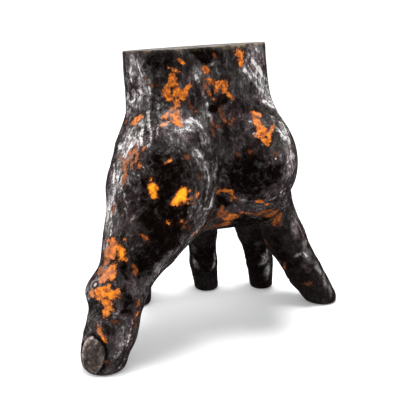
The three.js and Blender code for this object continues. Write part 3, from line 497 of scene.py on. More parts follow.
RELIEF = [
    (0.75, 1.7, [(-10.7, -17.5, 107.6), (-9.6, -17.6, 102.1), (-8.2, -17.7, 97.1), (-6.7, -17.8, 92.5), (-5.0, -18.3, 87.8), (-3.3, -18.9, 82.7), (-1.9, -19.4, 78.3)]),
    (-0.45, 1.8, [(-7.5, -17.8, 106.9), (-6.0, -17.8, 100.6), (-4.4, -17.8, 94.9), (-2.1, -17.8, 89.1), (0.2, -18.2, 83.9)]),
    (-0.9, 1.6, [(0.2, -18.2, 83.9), (0.4, -19.7, 77.1), (-0.5, -20.0, 69.8), (-0.6, -17.3, 61.6), (-0.9, -13.1, 52.7), (-4.6, -15.2, 47.6)]),
    (0.5, 1.5, [(-14.2, -20.8, 86.8), (-10.3, -22.5, 81.8), (-7.5, -23.1, 76.4), (-5.4, -22.6, 70.6), (-3.9, -20.8, 64.5), (-4.8, -20.1, 57.9), (-8.2, -21.9, 52.6)]),
    (0.65, 1.2, [(8.1, -15.5, 104.4), (11.6, -14.1, 100.2), (15.4, -13.0, 97.5), (19.8, -11.8, 93.9), (21.5, -13.9, 89.1), (21.8, -18.5, 84.7), (22.0, -22.7, 80.1), (22.3, -25.0, 74.8)]),
    (-0.55, 1.4, [(5.8, -16.3, 102.3), (10.1, -14.9, 97.0), (14.7, -13.9, 94.2), (17.3, -15.4, 90.2), (18.0, -19.5, 85.8), (18.2, -23.7, 80.8)]),
    (-0.4, 0.8, [(24.4, -22.8, 58.8), (19.7, -23.1, 55.7), (17.6, -19.7, 51.8), (17.7, -14.2, 47.5)]),
    (0.25, 0.8, [(21.2, -21.1, 53.9), (19.6, -16.6, 49.6)]),
    (-0.35, 0.8, [(36.8, -2.1, 47.1), (32.6, -4.9, 45.6), (25.8, -11.2, 46.7), (20.7, -15.4, 48.8)]),
    (0.22, 2.4, [(-26.7, -10.8, 107.5), (-25.5, -11.6, 103.4), (-26.2, -10.9, 98.5), (-25.0, -12.7, 93.7), (-26.0, -14.9, 89.8)]),
    (-0.25, 1.8, [(-22.1, -14.0, 108.3), (-22.8, -13.5, 103.5), (-21.2, -14.2, 97.9), (-22.4, -15.2, 92.5)]),
    (-0.45, 0.8, [(-54.4, -27.3, 26.3), (-52.4, -31.9, 27.6), (-50.2, -34.5, 26.5), (-47.8, -36.0, 25.3)]),
    (0.4, 0.9, [(-46.6, -36.7, 22.8), (-44.8, -36.6, 24.7), (-44.0, -36.7, 27.6)]),
    (-0.3, 0.8, [(-48.0, -36.4, 22.5), (-46.1, -37.1, 21.0), (-44.0, -37.0, 20.6)]),
    (-0.3, 0.8, [(-52.1, -26.7, 34.4), (-50.4, -30.4, 34.8), (-47.9, -32.2, 35.9)]),
    (-0.3, 0.8, [(-54.0, -28.8, 25.4), (-52.2, -32.5, 25.2), (-50.0, -35.0, 24.1)]),
    (-0.35, 1, [(-42.1, -36.4, 30.5), (-40.5, -36.2, 26.8), (-38.8, -34.6, 21.7)]),
    (0.35, 1.2, [(-4.0, -19.1, 58.4), (-7.2, -21.2, 53.5), (-11.1, -22.3, 48.8), (-15.4, -23.3, 44.9), (-21.4, -27.8, 42.5), (-27.8, -31.7, 39.3)]),
    (-0.3, 1.2, [(-13.5, -18.9, 89.7), (-19.5, -23.3, 83.2), (-23.3, -26.0, 76.1), (-25.0, -28.6, 68.0)]),
    (0.3, 1.6, [(5.2, -23.5, 71.9), (11.4, -26.8, 67.6), (18.7, -27.0, 65.6)]),
    (-0.35, 1.3, [(2.7, -19.4, 62.1), (8.5, -23.0, 59.0), (16.0, -24.7, 57.6)]),
]

SEAM_AND_HIGHLIGHT_LINES = [
    (0.95, [(-10.7, -17.5, 102.1), (-9.7, -17.6, 99.3), (-8.2, -17.7, 96.1), (-7.1, -17.8, 92.5), (-6.0, -18.4, 88.2), (-4.8, -18.8, 85.3)]),
    (0.9, [(8.6, -15.3, 103.6), (10.6, -14.5, 101.4), (13.0, -13.6, 99.1), (15.4, -13.0, 97.1), (17.3, -12.6, 95.5)]),
    (0.85, [(13.0, -13.4, 106.7), (15.5, -12.5, 104.0), (18.1, -11.4, 101.3), (20.7, -9.5, 99.3)]),
    (0.45, [(10.5, -14.5, 105.7), (12.5, -13.6, 102.7), (15.5, -12.7, 100.0)]),
    (0.85, [(17.5, -14.1, 91.9), (20.0, -14.2, 90.0), (22.8, -13.8, 87.9)]),
    (0.8, [(19.7, -10.9, 97.2), (21.4, -10.2, 94.4)]),
    (0.85, [(19.8, -15.7, 88.6), (19.5, -19.0, 85.7), (19.1, -21.8, 83.1), (20.2, -23.0, 81.0), (21.5, -23.9, 78.4)]),
    (0.8, [(25.2, -11.6, 86.8), (24.9, -15.8, 84.2)]),
    (0.5, [(23.7, -18.3, 83.5), (24.2, -20.9, 80.4), (24.6, -22.7, 76.9)]),
    (0.6, [(-13.7, -25.7, 77.2), (-12.2, -25.7, 75.7), (-10.7, -25.7, 73.4), (-8.5, -24.9, 71.7)]),
    (0.5, [(-8.4, -24.5, 73.0), (-6.0, -23.1, 70.4), (-4.8, -22.0, 66.7), (-4.3, -20.9, 62.7), (-5.9, -22.0, 59.3), (-7.1, -22.1, 55.6)]),
    (0.45, [(-10.8, -26.1, 71.7), (-9.1, -25.5, 68.9), (-8.7, -25.3, 65.6)]),
    (0.45, [(-13.3, -27.4, 58.3), (-11.1, -25.6, 55.8), (-8.1, -22.5, 54.3), (-7.2, -22.4, 56.1)]),
    (0.5, [(-14.9, -26.6, 52.3), (-13.2, -23.8, 48.7), (-11.4, -19.6, 44.5)]),
    (0.45, [(-4.8, -20.1, 57.9), (-7.2, -21.2, 53.5), (-8.9, -19.3, 47.3), (-11.6, -19.0, 43.5), (-14.6, -18.6, 39.8), (-20.1, -23.3, 38.1), (-25.0, -26.9, 35.7)]),
    (0.5, [(26.3, -22.4, 60.9), (22.3, -24.4, 59.7), (19.5, -24.4, 57.6), (17.0, -23.4, 55.6)]),
    (0.45, [(35.2, -3.5, 47.2), (33.1, -4.8, 46.4), (30.3, -6.7, 46.3)]),
    (0.9, [(-27.5, -13.5, 89.7), (-28.2, -15.8, 87.1), (-28.5, -18.3, 84.7), (-29.0, -20.5, 81.9), (-29.7, -21.7, 79.3)]),
    (0.75, [(-29.1, -15.2, 86.7), (-30.5, -16.3, 84.5), (-31.4, -18.0, 82.0), (-31.7, -20.1, 79.1)]),
    (0.55, [(-24.4, -15.2, 90.8), (-24.2, -16.9, 89.2), (-24.8, -18.4, 87.3)]),
    (0.5, [(-25.5, -19.4, 85.7), (-26.4, -20.9, 83.5), (-27.3, -22.2, 81.0)]),
    (0.5, [(-31.1, -5.0, 104.6), (-31.4, -4.2, 102.1), (-31.0, -5.1, 99.6)]),
    (0.45, [(-29.8, -7.4, 107.5), (-29.0, -8.3, 104.7), (-28.2, -9.2, 101.9)]),
    (0.45, [(-31.9, -2.2, 96.2), (-31.9, -1.8, 93.6), (-31.5, -3.3, 91.9), (-30.6, -5.7, 93.2), (-30.6, -5.5, 95.7)]),
    (0.75, [(-29.4, -7.5, 96.9), (-28.5, -8.7, 95.9)]),
    (0.5, [(-26.2, -10.9, 98.2), (-25.7, -11.5, 96.1), (-25.2, -12.3, 94.4), (-26.0, -12.4, 92.7)]),
    (0.7, [(-37.7, -8.7, 77.2), (-37.4, -12.2, 77.1)]),
    (0.6, [(-34.6, -16.1, 79.4), (-35.7, -16.7, 77.0), (-37.0, -17.3, 74.4)]),
    (0.5, [(-32.8, -18.8, 79.3), (-33.6, -20.2, 76.5)]),
    (0.5, [(-40.2, -11.5, 71.7), (-40.8, -14.4, 69.0), (-41.5, -15.5, 66.0)]),
    (0.6, [(-40.1, -17.9, 67.5), (-40.1, -18.3, 66.9)]),
    (0.5, [(-36.4, -21.0, 71.1), (-35.5, -22.9, 69.7)]),
    (0.45, [(-34.4, -24.0, 69.5), (-33.6, -25.1, 68.6)]),
    (0.45, [(-32.7, -23.6, 72.4), (-32.0, -24.6, 71.5), (-32.5, -25.0, 70.2)]),
    (0.5, [(-29.5, -22.7, 77.7), (-29.6, -23.1, 77.1)]),
    (0.45, [(-39.5, -21.1, 63.9), (-38.9, -22.9, 62.5), (-39.7, -22.8, 61.1), (-38.7, -24.8, 60.0)]),
    (0.45, [(-41.1, -19.7, 61.9), (-40.8, -21.4, 60.5)]),
    (0.5, [(-39.6, -25.2, 58.4), (-39.2, -26.9, 57.1)]),
    (0.45, [(-43.7, -20.9, 55.1), (-44.2, -24.4, 52.2), (-45.3, -25.4, 48.9)]),
    (0.45, [(-42.4, -26.0, 53.9), (-43.2, -27.5, 50.8)]),
    (0.5, [(-20.4, -19.6, 88.0), (-18.0, -21.0, 86.6), (-15.3, -20.8, 86.8)]),
    (0.5, [(-13.9, -19.9, 88.0), (-11.5, -20.5, 86.2), (-9.5, -21.2, 83.7)]),
    (0.5, [(-12.3, -21.7, 84.7), (-9.9, -22.3, 81.8), (-8.1, -22.7, 78.9)]),
    (0.45, [(-18.4, -22.4, 84.7), (-14.8, -22.7, 83.9), (-12.1, -23.2, 81.7)]),
    (0.45, [(-24.3, -26.8, 73.5), (-21.4, -26.7, 75.1), (-18.6, -27.1, 74.3)]),
    (0.5, [(-54.4, -33.4, 15.6), (-53.1, -34.9, 16.1)]),
    (0.45, [(-45.1, -36.6, 25.1), (-43.7, -36.7, 27.2)]),
    (0.5, [(-52.3, -28.5, 33.4), (-51.3, -29.8, 34.0), (-50.9, -31.2, 33.4), (-51.9, -30.6, 32.4)]),
    (0.45, [(-53.1, -27.0, 32.8), (-53.4, -27.5, 31.9)]),
    (0.45, [(40.1, -1.9, 38.3), (41.9, -2.5, 34.7), (43.2, -3.1, 31.1)]),
    (0.5, [(42.0, -5.0, 25.4), (43.8, -5.3, 23.5)]),
    (0.45, [(-43.3, -35.2, 8.9), (-44.2, -33.7, 5.1), (-46.5, -34.2, 3.1)]),
    (0.45, [(-40.5, -35.7, 21.7), (-41.5, -36.5, 17.7), (-42.8, -36.7, 13.4)]),
    (0.45, [(-34.9, -33.8, 37.3), (-33.0, -33.4, 37.6)]),
]

DOTS = [
    (0.9, 3, (-54.0, -27.2, 30.3)),
    (-0.5, 4, (-55.2, -30.7, 18.1)),
    (0.5, 1.3, (-51.7, -30.6, 32.9)),
    (-0.45, 2.3, (-51.7, -30.6, 32.9)),
    (0.3, 3.4, (-51.7, -30.6, 32.9)),
    (-0.5, 0.9, (9.9, -22.3, 82.2)),
    (0.35, 1.2, (-12.4, -25.3, 77.1)),
    (-0.5, 1.2, (-23.0, -19.5, 87.0)),
]

# small pits and pale beads, the palest of them painted glints (on the thumb's knuckle and nail and two spots on the
# palm side): where, radius and how pale (as a power of two)
PITS_AND_GLINTS = [
    ((-52.0, -29.6, 33.2), 2.2, -3.0), ((-51.8, -29.8, 33.3), 1.6, -7.5), ((-51.8, -29.8, 33.3), 0.8, -1.4), ((-54.6, -33.0, 15.3), 0.75, -1.6),
    ((9.5, -22.0, 82.3), 1.1, -8.0), ((9.7, -22.1, 82.4), 0.55, -0.6), ((16.7, -27.1, 72.3), 1.2, -8.0), ((16.7, -27.1, 72.3), 0.42, -0.8),
]


def lattice(seed):
    rng = np.random.RandomState(seed)
    g = rng.normal(size=(256, 3))
    return rng.permutation(256), g / np.linalg.norm(g, axis=1, keepdims=True)


def noise(p, size, seed):
    """Smooth noise from -1 to 1 whose lumps are about size across."""
    perm, grads = lattice(seed)
    q = p / size
    i = np.floor(q).astype(np.int64)
    f = q - i
    u = f * f * f * (f * (f * 6 - 15) + 10)
    total = np.zeros(len(p))
    for a in (0, 1):
        for b in (0, 1):
            for c in (0, 1):
                h = perm[(perm[(perm[(i[:, 0] + a) & 255] + i[:, 1] + b) & 255] + i[:, 2] + c) & 255]
                d = ((f - (a, b, c)) * grads[h]).sum(1)
                total += d * np.where(a, u[:, 0], 1 - u[:, 0]) * np.where(b, u[:, 1], 1 - u[:, 1]) * np.where(c, u[:, 2], 1 - u[:, 2])
    return total * 1.5


def smooth(x, lo, hi):
    t = np.clip((x - lo) / (hi - lo), 0, 1)
    return t * t * (3 - 2 * t)


def line_distance(p, line):
    """Distance from each point to a line, and how far from the line's two ends it is (0 at an end)."""
    line = np.asarray(line, float)
    best = np.full(len(p), 1e9)
    where = np.zeros(len(p))
    run = np.concatenate([[0], np.cumsum(np.linalg.norm(np.diff(line, axis=0), axis=1))])
    for i in range(len(line) - 1):
        a, b = line[i], line[i + 1]
        t = np.clip(((p - a) @ (b - a)) / ((b - a) @ (b - a)), 0, 1)
        d = np.linalg.norm(p - a - np.multiply.outer(t, b - a), axis=1)
        m = d < best
        best[m] = d[m]
        where[m] = (run[i] + t * (run[i + 1] - run[i]))[m]
    return best, np.minimum(where, run[-1] - where)


def along_surface(line, spacing=1.2):
    """The line filled in with a smooth curve and laid onto the hand."""
    line = np.asarray(line, float)
    fill = []
    for i in range(len(line) - 1):
        p0, p1, p2, p3 = line[max(i - 1, 0)], line[i], line[i + 1], line[min(i + 2, len(line) - 1)]
        for t in np.linspace(0, 1, max(2, int(np.linalg.norm(p2 - p1) / spacing)), endpoint=False):
            fill.append(0.5 * (2 * p1 + (p2 - p0) * t + (2 * p0 - 5 * p1 + 4 * p2 - p3) * t * t + (3 * p1 - p0 - 3 * p2 + p3) * t ** 3))
    fill.append(line[-1])
    return onto(shape, np.array(fill), 5, cap=3)[0]


height = np.zeros(len(points))
# unevenness left by hand grinding and polishing
limb_calm = 0.30 + 0.70 * smooth(points[:, 2] + 0.9 * (-points[:, 0] - 20), 34, 62)
height += limb_calm * (0.26 * noise(points, 11, 3) + 0.16 * noise(points, 5.5, 4) + 0.08 * noise(points, 2.6, 5))


def stroke(line, tall, half, taper=3.0, soft=2.0, lay=True):
    global height
    path = along_surface(line) if lay else np.asarray(line, float)
    lo, hi = path.min(0) - 3 * half, path.max(0) + 3 * half
    m = np.flatnonzero(((points > lo) & (points < hi)).all(1))
    if not len(m):
        return
    d, end = line_distance(points[m], path)
    height[m] += tall * np.exp(-(d / half) ** soft) * smooth(end, -0.2, taper)


for tall, half, line in RELIEF:
    if len(line) > 1:
        stroke(line, tall, half)
for tall, half, at in DOTS:
    d = np.linalg.norm(points - np.array(at), axis=1)
    height += tall * np.exp(-(d / half) ** 2)

# back of the hand: tendons to the knuckles, two veins, hollows between the knuckles
for tall, half, line in [
    (0.75, 2.0, [(-8, 19, 92), (-11, 20, 80), (-14, 25, 66), (-16, 29, 58)]),
    (0.80, 2.0, [(-4, 20, 92), (-2, 21, 80), (1, 27, 66), (2, 31, 57)]),
    (0.75, 1.9, [(0, 20, 92), (5, 21, 80), (13, 24, 66), (18, 28, 57)]),
    (0.65, 1.8, [(5, 19, 92), (12, 18, 80), (22, 18, 66), (27, 20, 58)]),
    (-0.9, 3.0, [(-7, 27, 60), (-7, 27, 50)]),
    (-0.9, 3.0, [(11, 26, 60), (12, 26, 50)]),
    (-0.8, 2.8, [(23, 20, 60), (26, 19, 50)]),
    (0.38, 1.2, [(-20, 14, 100), (-15, 17, 90), (-18, 19, 78), (-12, 24, 70), (-7, 27, 62)]),
    (0.34, 1.1, [(-15, 17, 90), (-7, 20, 84), (4, 22, 76), (8, 25, 66)]),
    (0.34, 1.1, [(4, 22, 76), (16, 19, 72), (24, 17, 64)]),
    (0.7, 2.2, [(-30, -2, 96), (-33, -3, 84), (-36, -6, 72)]),
    (-0.6, 2.2, [(-25, 6, 88), (-29, 5, 76), (-30, 4, 64)]),
    (-0.35, 1.0, [(-24, 12, 101), (-10, 19, 99), (6, 18, 99), (18, 10, 100)]),
]:
    stroke(line, tall, half, taper=5.0)

# finger joints: creases across the back and the inside of each
for (a, b, c, d, radii, _), back in zip(FINGERS, BACKS):
    a, b, c, d = (np.array(v, float) for v in (a, b, c, d))
    out = np.array([back[0], back[1], 0.15])
    out /= np.linalg.norm(out)
    for at, before, after, r, creases in ((b, a, c, radii[1], (-2.2, 0, 2.2)), (c, b, d, radii[2], (-1.1, 1.1))):
        axis = (before - at) / np.linalg.norm(before - at) - (after - at) / np.linalg.norm(after - at)
        axis /= np.linalg.norm(axis)
        rel = points - at
        near = np.linalg.norm(rel, axis=1) < r * 1.7
        face = normals @ out
        s = rel @ axis
        for k in creases:
            bend = k + 0.25 * noise(points, 4, 31)
            height -= np.where(near, 0.34 * np.exp(-((s - bend) / 0.62) ** 2) * smooth(face, 0.25, 0.8), 0)
        height -= np.where(near, 0.40 * np.exp(-((s - 0.6) / 0.75) ** 2) * smooth(-face, -0.1, 0.6), 0)


def nail(centre, out, axis, half_wide, half_long, tall):
    """A raised nail plate with a groove round it, open at the tip."""
    global height
    out = np.array(out, float) / np.linalg.norm(out)
    axis = np.array(axis, float)
    axis = axis - out * (axis @ out)
    axis /= np.linalg.norm(axis)
    side = np.cross(axis, out)
    rel = points - np.array(centre, float)
    u, v, w = rel @ side, rel @ axis, rel @ out
    near = (np.linalg.norm(rel, axis=1) < 14) & (w > -5.0) & (normals @ out > 0.05)
    r = (np.abs(u / half_wide) ** 2.6 + np.abs(v / half_long) ** 2.6) ** (1 / 2.6)
    dist = (r - 1) * half_wide
    plate = tall * (1 - smooth(dist, -0.6, 0.15)) + 0.30 * (1 - smooth(r, 0, 1))
    groove = -1.3 * tall * np.exp(-((dist - 0.65) / 0.65) ** 2) * smooth(v, -half_long * 1.0, -half_long * 0.5)
    fold = 0.8 * tall * np.exp(-((dist - 2.3) / 1.1) ** 2) * smooth(v, -half_long * 0.7, half_long * 0.1)
    height[near] += (plate + groove + fold)[near]
    return np.where(near, 1.0 - np.abs(dist - 0.45) / 0.9, -1.0), near & (r < 1)


on_nail = np.zeros(len(points), bool)
in_groove = np.full(len(points), -1.0)
THUMBNAIL = ((-54.9, -32.8, 8.6), (-0.74, -0.67, 0.06), (0.25, -0.11, 0.96), 4.7, 7.0)
dip, plate = nail(*THUMBNAIL, 0.60)
for (a, b, c, d, radii, _), back in zip(FINGERS, BACKS):
    c, d = np.array(c, float), np.array(d, float)
    out = np.array([back[0], back[1], 0.25])
    out /= np.linalg.norm(out)
    in_groove, on_nail = np.maximum(in_groove, dip), on_nail | plate
    dip, plate = nail(c * 0.28 + d * 0.72 + out * (radii[3] + 0.2), out, c - d, radii[3] * 0.66, 4.6, 0.34)
in_groove, on_nail = np.maximum(in_groove, dip), on_nail | plate

# flats that the hand stands on and the sawn face stay true
height *= smooth(points[:, 2], 0.2, 3.0)
inner = on_top & ~rim
height[inner] = 0
cap_fade = smooth(SAW_AT[2] - points[:, 2], -2.0, 6.0)
height *= 0.45 + 0.55 * cap_fade
shifted = points + normals * height[:, None]
shifted[:, 2] = np.maximum(shifted[:, 2], 0)
over = (shifted - SAW_AT) @ SAW_NORMAL
lift = (over > 0) | on_top
shifted[lift] -= np.multiply.outer(over[lift], SAW_NORMAL)

# ---------------------------------------------------------------- the saw cut's rounded edge
rim_ids = np.flatnonzero(rim)
ring = {int(i): [] for i in rim_ids}
top_quads = quads[face_on_top]
wall_quads = quads[~face_on_top]


def directed_edges(q):
    return np.concatenate([q[:, [0, 1]], q[:, [1, 2]], q[:, [2, 3]], q[:, [3, 0]]])


top_edges = directed_edges(top_quads)
wall_set = {(int(a), int(b)) for a, b in directed_edges(wall_quads)[rim[directed_edges(wall_quads)].all(1)]}
follow = {int(a): int(b) for a, b in top_edges[rim[top_edges].all(1)] if (int(b), int(a)) in wall_set}
start = min(follow)
loop = [start]
while follow[loop[-1]] != start and len(loop) <= len(follow):
    loop.append(follow[loop[-1]])
loop = np.array(loop)
EDGE = 0.5
inward = -normals[loop] + np.multiply.outer(normals[loop] @ SAW_NORMAL, SAW_NORMAL)
inward /= np.linalg.norm(inward, axis=1, keepdims=True)
corner = shifted[loop].copy()
down = np.cross(np.roll(corner, -1, 0) - np.roll(corner, 1, 0), normals[loop])
down /= np.linalg.norm(down, axis=1, keepdims=True)
down *= np.sign(-(down @ SAW_NORMAL))[:, None]
rings = []
for angle in (0, 22.5, 45, 67.5, 90):
    t = math.radians(angle)
    rings.append(corner + EDGE * ((1 - math.sin(t)) * down + (1 - math.cos(t)) * inward))
# inner vertices of the sawn face that are nearer the edge than the rounding give way
base = len(shifted)
count = len(loop)
shifted[loop] = rings[0]
extra = np.concatenate(rings[1:])
swap = {int(v): base + 3 * count + i for i, v in enumerate(loop)}
top_quads = np.array([[swap.get(int(v), int(v)) for v in q] for q in top_quads])
close = np.flatnonzero(inner)
edge_d, _ = line_distance(shifted[close], np.concatenate([rings[4], rings[4][:1]]))
push = close[edge_d < 0.55]
if len(push):
    which = np.argmin(np.linalg.norm(shifted[push][:, None] - rings[4][None], axis=2), axis=1)
    shifted[push] = np.where((edge_d[edge_d < 0.55] < 0.55)[:, None], shifted[push] + inward[which] * (0.55 - edge_d[edge_d < 0.55])[:, None], shifted[push])
index = [loop] + [base + k * count + np.arange(count) for k in range(4)]
strip = []
for k in range(4):
    a, b = index[k], index[k + 1]
    strip.append(np.stack([a, np.roll(a, -1), np.roll(b, -1), b], 1))
strip = np.concatenate(strip)
verts = np.concatenate([shifted, extra])
faces = np.concatenate([wall_quads, top_quads, strip])
v_normal = np.concatenate([normals] + [normals[loop]] * 4)
v_inner = np.concatenate([inner] + [np.zeros(count, bool)] * 3 + [np.ones(count, bool)])


def turned_out(v, f):
    a, b, c, d = (v[f[:, i]] for i in range(4))
    return float((np.cross(b - a, c - a) * a).sum() + (np.cross(c - a, d - a) * a).sum()) > 0


n0 = len(wall_quads) + len(top_quads)
same = set(map(tuple, directed_edges(faces[:n0]).tolist()))
if (int(strip[0][0]), int(strip[0][1])) in same:
    faces[n0:] = faces[n0:][:, ::-1]
if not turned_out(verts, faces):
    faces = faces[:, ::-1]

# ---------------------------------------------------------------- where the stone is orange, pale or black
total = len(verts)


def ellipses(rows, p, depth, level=None):
    """The best (largest) 1 - r, in units of the short half axis, over all ellipses, with what the winning rows carry."""
    best = np.full(len(p), -1e3)
    carry = np.zeros((len(p), 2))
    weight = np.full(len(p), 1e-6)
    for row in rows:
        c, t1, t2 = np.array(row[0:3]), np.array(row[3:6]), np.array(row[6:9])
        l1, l2 = max(np.linalg.norm(t1), 0.35), max(np.linalg.norm(t2), 0.35)
        n = np.cross(t1, t2)
        n /= max(np.linalg.norm(n), 1e-6)
        reach = max(l1, l2) * 2.2 + 4
        m = np.flatnonzero((np.abs(p - c) < reach).all(1))
        rel = p[m] - c
        r = np.sqrt((rel @ t1 / l1 / l1) ** 2 + (rel @ t2 / l2 / l2) ** 2 + (rel @ n / max(depth, min(l1, l2))) ** 2)
        s = (1 - r) * min(l1, l2)
        best[m] = np.maximum(best[m], s)
        if len(row) > 9:
            k = np.exp(2.5 * np.clip(s, -4, 1.5))
            weight[m] += k
            carry[m] += k[:, None] * np.array(row[9:11] if len(row) > 10 else (row[9], 0))
    return best, carry / weight[:, None]


def softly(rows, p, depth):
    """Strength of the strongest soft-edged ellipse at each point."""
    out = np.zeros(len(p))
    for row in rows:
        c, t1, t2 = np.array(row[0:3]), np.array(row[3:6]), np.array(row[6:9])
        l1, l2 = max(np.linalg.norm(t1), 0.5), max(np.linalg.norm(t2), 0.5)
        n = np.cross(t1, t2)
        n /= max(np.linalg.norm(n), 1e-6)
        rel = p - c
        r = np.sqrt((rel @ t1 / l1 / l1) ** 2 + (rel @ t2 / l2 / l2) ** 2 + (rel @ n / depth) ** 2)
        out = np.maximum(out, row[9] * (1 - smooth(r, 0.35, 1.35)))
    return out


seen = (v_normal * (EYE - verts)).sum(1) / np.linalg.norm(EYE - verts, axis=1)
rng = np.random.RandomState(11)
hidden = []
candidates = np.flatnonzero((seen < -0.12) & (verts[:, 2] > 3))
taken = np.zeros((0, 3))
while len(hidden) < 150:
    i = rng.choice(candidates)
    c = verts[i]
    big = rng.uniform(1.6, 3.9)
    if len(taken) and np.linalg.norm(taken - c, axis=1).min() < 5.5 + big:
        if rng.uniform() < 0.995:
            hidden.append(None)
            continue
    taken = np.vstack([taken, c])
    n = v_normal[i]
    u = np.cross(n, [0.2, 0.1, 1.0])
    u /= np.linalg.norm(u)
    v = np.cross(n, u)
    glow_and_shade = rng.uniform(0.55, 1.0)
    for k in range(rng.randint(2, 6)):
        a = rng.uniform(0, math.pi)
        off = (u * rng.normal() + v * rng.normal()) * big * 0.75
        long, short = big * rng.uniform(0.5, 1.0), big * rng.uniform(0.25, 0.6)
        t1 = (u * math.cos(a) + v * math.sin(a)) * long
        t2 = (-u * math.sin(a) + v * math.cos(a)) * short
        hidden.append((*(c + off), *t1, *t2, glow_and_shade * rng.uniform(0.8, 1.0), rng.uniform(0, 0.35)))
hidden = [h for h in hidden if h is not None]
# none of them may reach round into the seen side
hidden = [h for h in hidden if seen[np.argmin(((verts - h[:3]) ** 2).sum(1))] < -0.24]

LEAST = 0.66      # ellipses narrower than this are drawn by the material, point by point
short_of = lambda row: min(np.linalg.norm(row[3:6]), np.linalg.norm(row[6:9]))
broad = [r for r in PATCHES if short_of(r) >= LEAST] + hidden
narrow = [r for r in PATCHES if short_of(r) < LEAST]
field, carried = ellipses(broad, verts, 3.0)
_, carried = ellipses(PATCHES + hidden, verts, 3.0)
drift = np.stack([2.6 * noise(verts, 9, 71 + k) + 1.1 * noise(verts, 3.5, 74 + k) for k in range(3)], 1)
pale_and_sheen = softly(PALE_AND_SHEEN, verts + drift, 9.0)
black_and_shade = softly(BLACK_AND_SHADE, verts + 1.5 * drift, 9.0)
calm = smooth(46 - verts[:, 2], 0, 12) * np.maximum(smooth(verts[:, 1], -12, -2), smooth(verts[:, 0], -5, 10))
# nearness to the pale lines, partly seams in the stone and partly painted highlights along ridges
seam_and_highlight = np.full(total, -3.0)
for half, line in SEAM_AND_HIGHLIGHT_LINES:
    if len(line) > 1:
        path = along_surface(line)
        lo, hi = path.min(0) - 3, path.max(0) + 3
        m = np.flatnonzero(((verts > lo) & (verts < hi)).all(1))
        if len(m):
            d, _ = line_distance(verts[m], path)
            seam_and_highlight[m] = np.maximum(seam_and_highlight[m], half - d)
unseen = smooth(-seen, -0.05, 0.25)
calm *= 1 - 0.75 * unseen
pale_and_sheen = np.maximum(pale_and_sheen, unseen * smooth(noise(verts, 15, 61), -0.05, 0.35) * 0.6)
black_and_shade = np.maximum(black_and_shade, unseen * smooth(noise(verts, 14, 62) + 0.5 * noise(verts, 5, 63), 0.0, 0.5) * 0.65)
field[v_inner] = np.minimum(field[v_inner], -0.4)
field[:len(points)][on_nail] -= 1.2


def limb_axes(p):
    """The direction in which the stone's grain runs: along the nearest limb."""
    total = np.zeros((len(p), 3))
    for q in PIECES:
        if isinstance(q[0], str):
            axis = np.array([0.12, 0, -1.0])
        else:
            axis = np.asarray(q[1], float) - np.asarray(q[0], float)
        axis = axis / np.linalg.norm(axis)
        axis = axis if axis[2] < 0 else -axis
        if abs(axis[2]) < 0.4 or (not isinstance(q[0], str) and np.linalg.norm(np.asarray(q[1], float) - np.asarray(q[0], float)) < 5):
            continue
        total += np.multiply.outer(np.exp(-np.clip(piece_distance(p, q), -2, 60) / 3.0), axis)
    return total / np.maximum(np.linalg.norm(total, axis=1, keepdims=True), 1e-9)


axis = limb_axes(verts)
pin = np.array([-4.0, 0.0, 60.0])
grain = verts - np.multiply.outer(0.80 * 1.0, np.ones(3)) * axis * ((verts - pin) * axis).sum(1)[:, None]

mesh = bpy.data.meshes.new("stone_hand")
mesh.vertices.add(total)
mesh.vertices.foreach_set("co", (verts * 0.001).astype(np.float32).ravel())
mesh.loops.add(4 * len(faces))
mesh.loops.foreach_set("vertex_index", faces.astype(np.int32).ravel())
mesh.polygons.add(len(faces))
mesh.polygons.foreach_set("loop_start", np.arange(len(faces), dtype=np.int32) * 4)
mesh.update(calc_edges=True)
mesh.validate()
mesh.polygons.foreach_set("use_smooth", np.ones(len(mesh.polygons), bool))
for name, values in (("patch", np.clip(field, -6, 3)), ("glow_and_shade", carried[:, 0]), ("blush", carried[:, 1]), ("pale_and_sheen", pale_and_sheen), ("black_and_shade", black_and_shade),
                     ("sawn", v_inner.astype(float)), ("nail", np.concatenate([on_nail.astype(float), np.zeros(4 * count)])),
                     ("groove", np.concatenate([in_groove, np.full(4 * count, -1.0)])), ("seam_and_highlight", seam_and_highlight), ("calm", calm)):
    mesh.attributes.new(name, "FLOAT", "POINT").data.foreach_set("value", values.astype(np.float32))
mesh.attributes.new("grain", "FLOAT_VECTOR", "POINT").data.foreach_set("vector", grain.astype(np.float32).ravel())
hand = bpy.data.objects.new("stone_hand", mesh)
bpy.context.scene.collection.objects.link(hand)

# ---------------------------------------------------------------- the stone
stone = bpy.data.materials.new("stone")
stone.use_nodes = True
tree = stone.node_tree
tree.nodes.clear()


def node(kind, out=0, props=None, **inputs):
    n = tree.nodes.new(kind)
    for k, v in (props or {}).items():
        setattr(n, k, v)
    for k, v in inputs.items():
        socket = n.inputs[int(k[1:])] if k[0] == "i" and k[1:].isdigit() else n.inputs[k.replace("_", " ")]
        if isinstance(v, bpy.types.NodeSocket):
            tree.links.new(v, socket)
        else:
            socket.default_value = v
    return n.outputs[out]


def math_(op, a, b=0.0, c=0.0, clamp=False):
    return node("ShaderNodeMath", props={"operation": op, "use_clamp": clamp}, i0=a, i1=b, i2=c)


def vec(op, a, b=(0, 0, 0)):
    return node("ShaderNodeVectorMath", props={"operation": op}, i0=a, i1=b)


def scaled(a, s):
    n = tree.nodes.new("ShaderNodeVectorMath")
    n.operation = "SCALE"
    tree.links.new(a, n.inputs[0])
    n.inputs["Scale"].default_value = s
    return n.outputs[0]


def step(x, lo, hi, a=0.0, b=1.0):
    return node("ShaderNodeMapRange", props={"interpolation_type": "SMOOTHSTEP"}, i0=x, i1=lo, i2=hi, i3=a, i4=b)


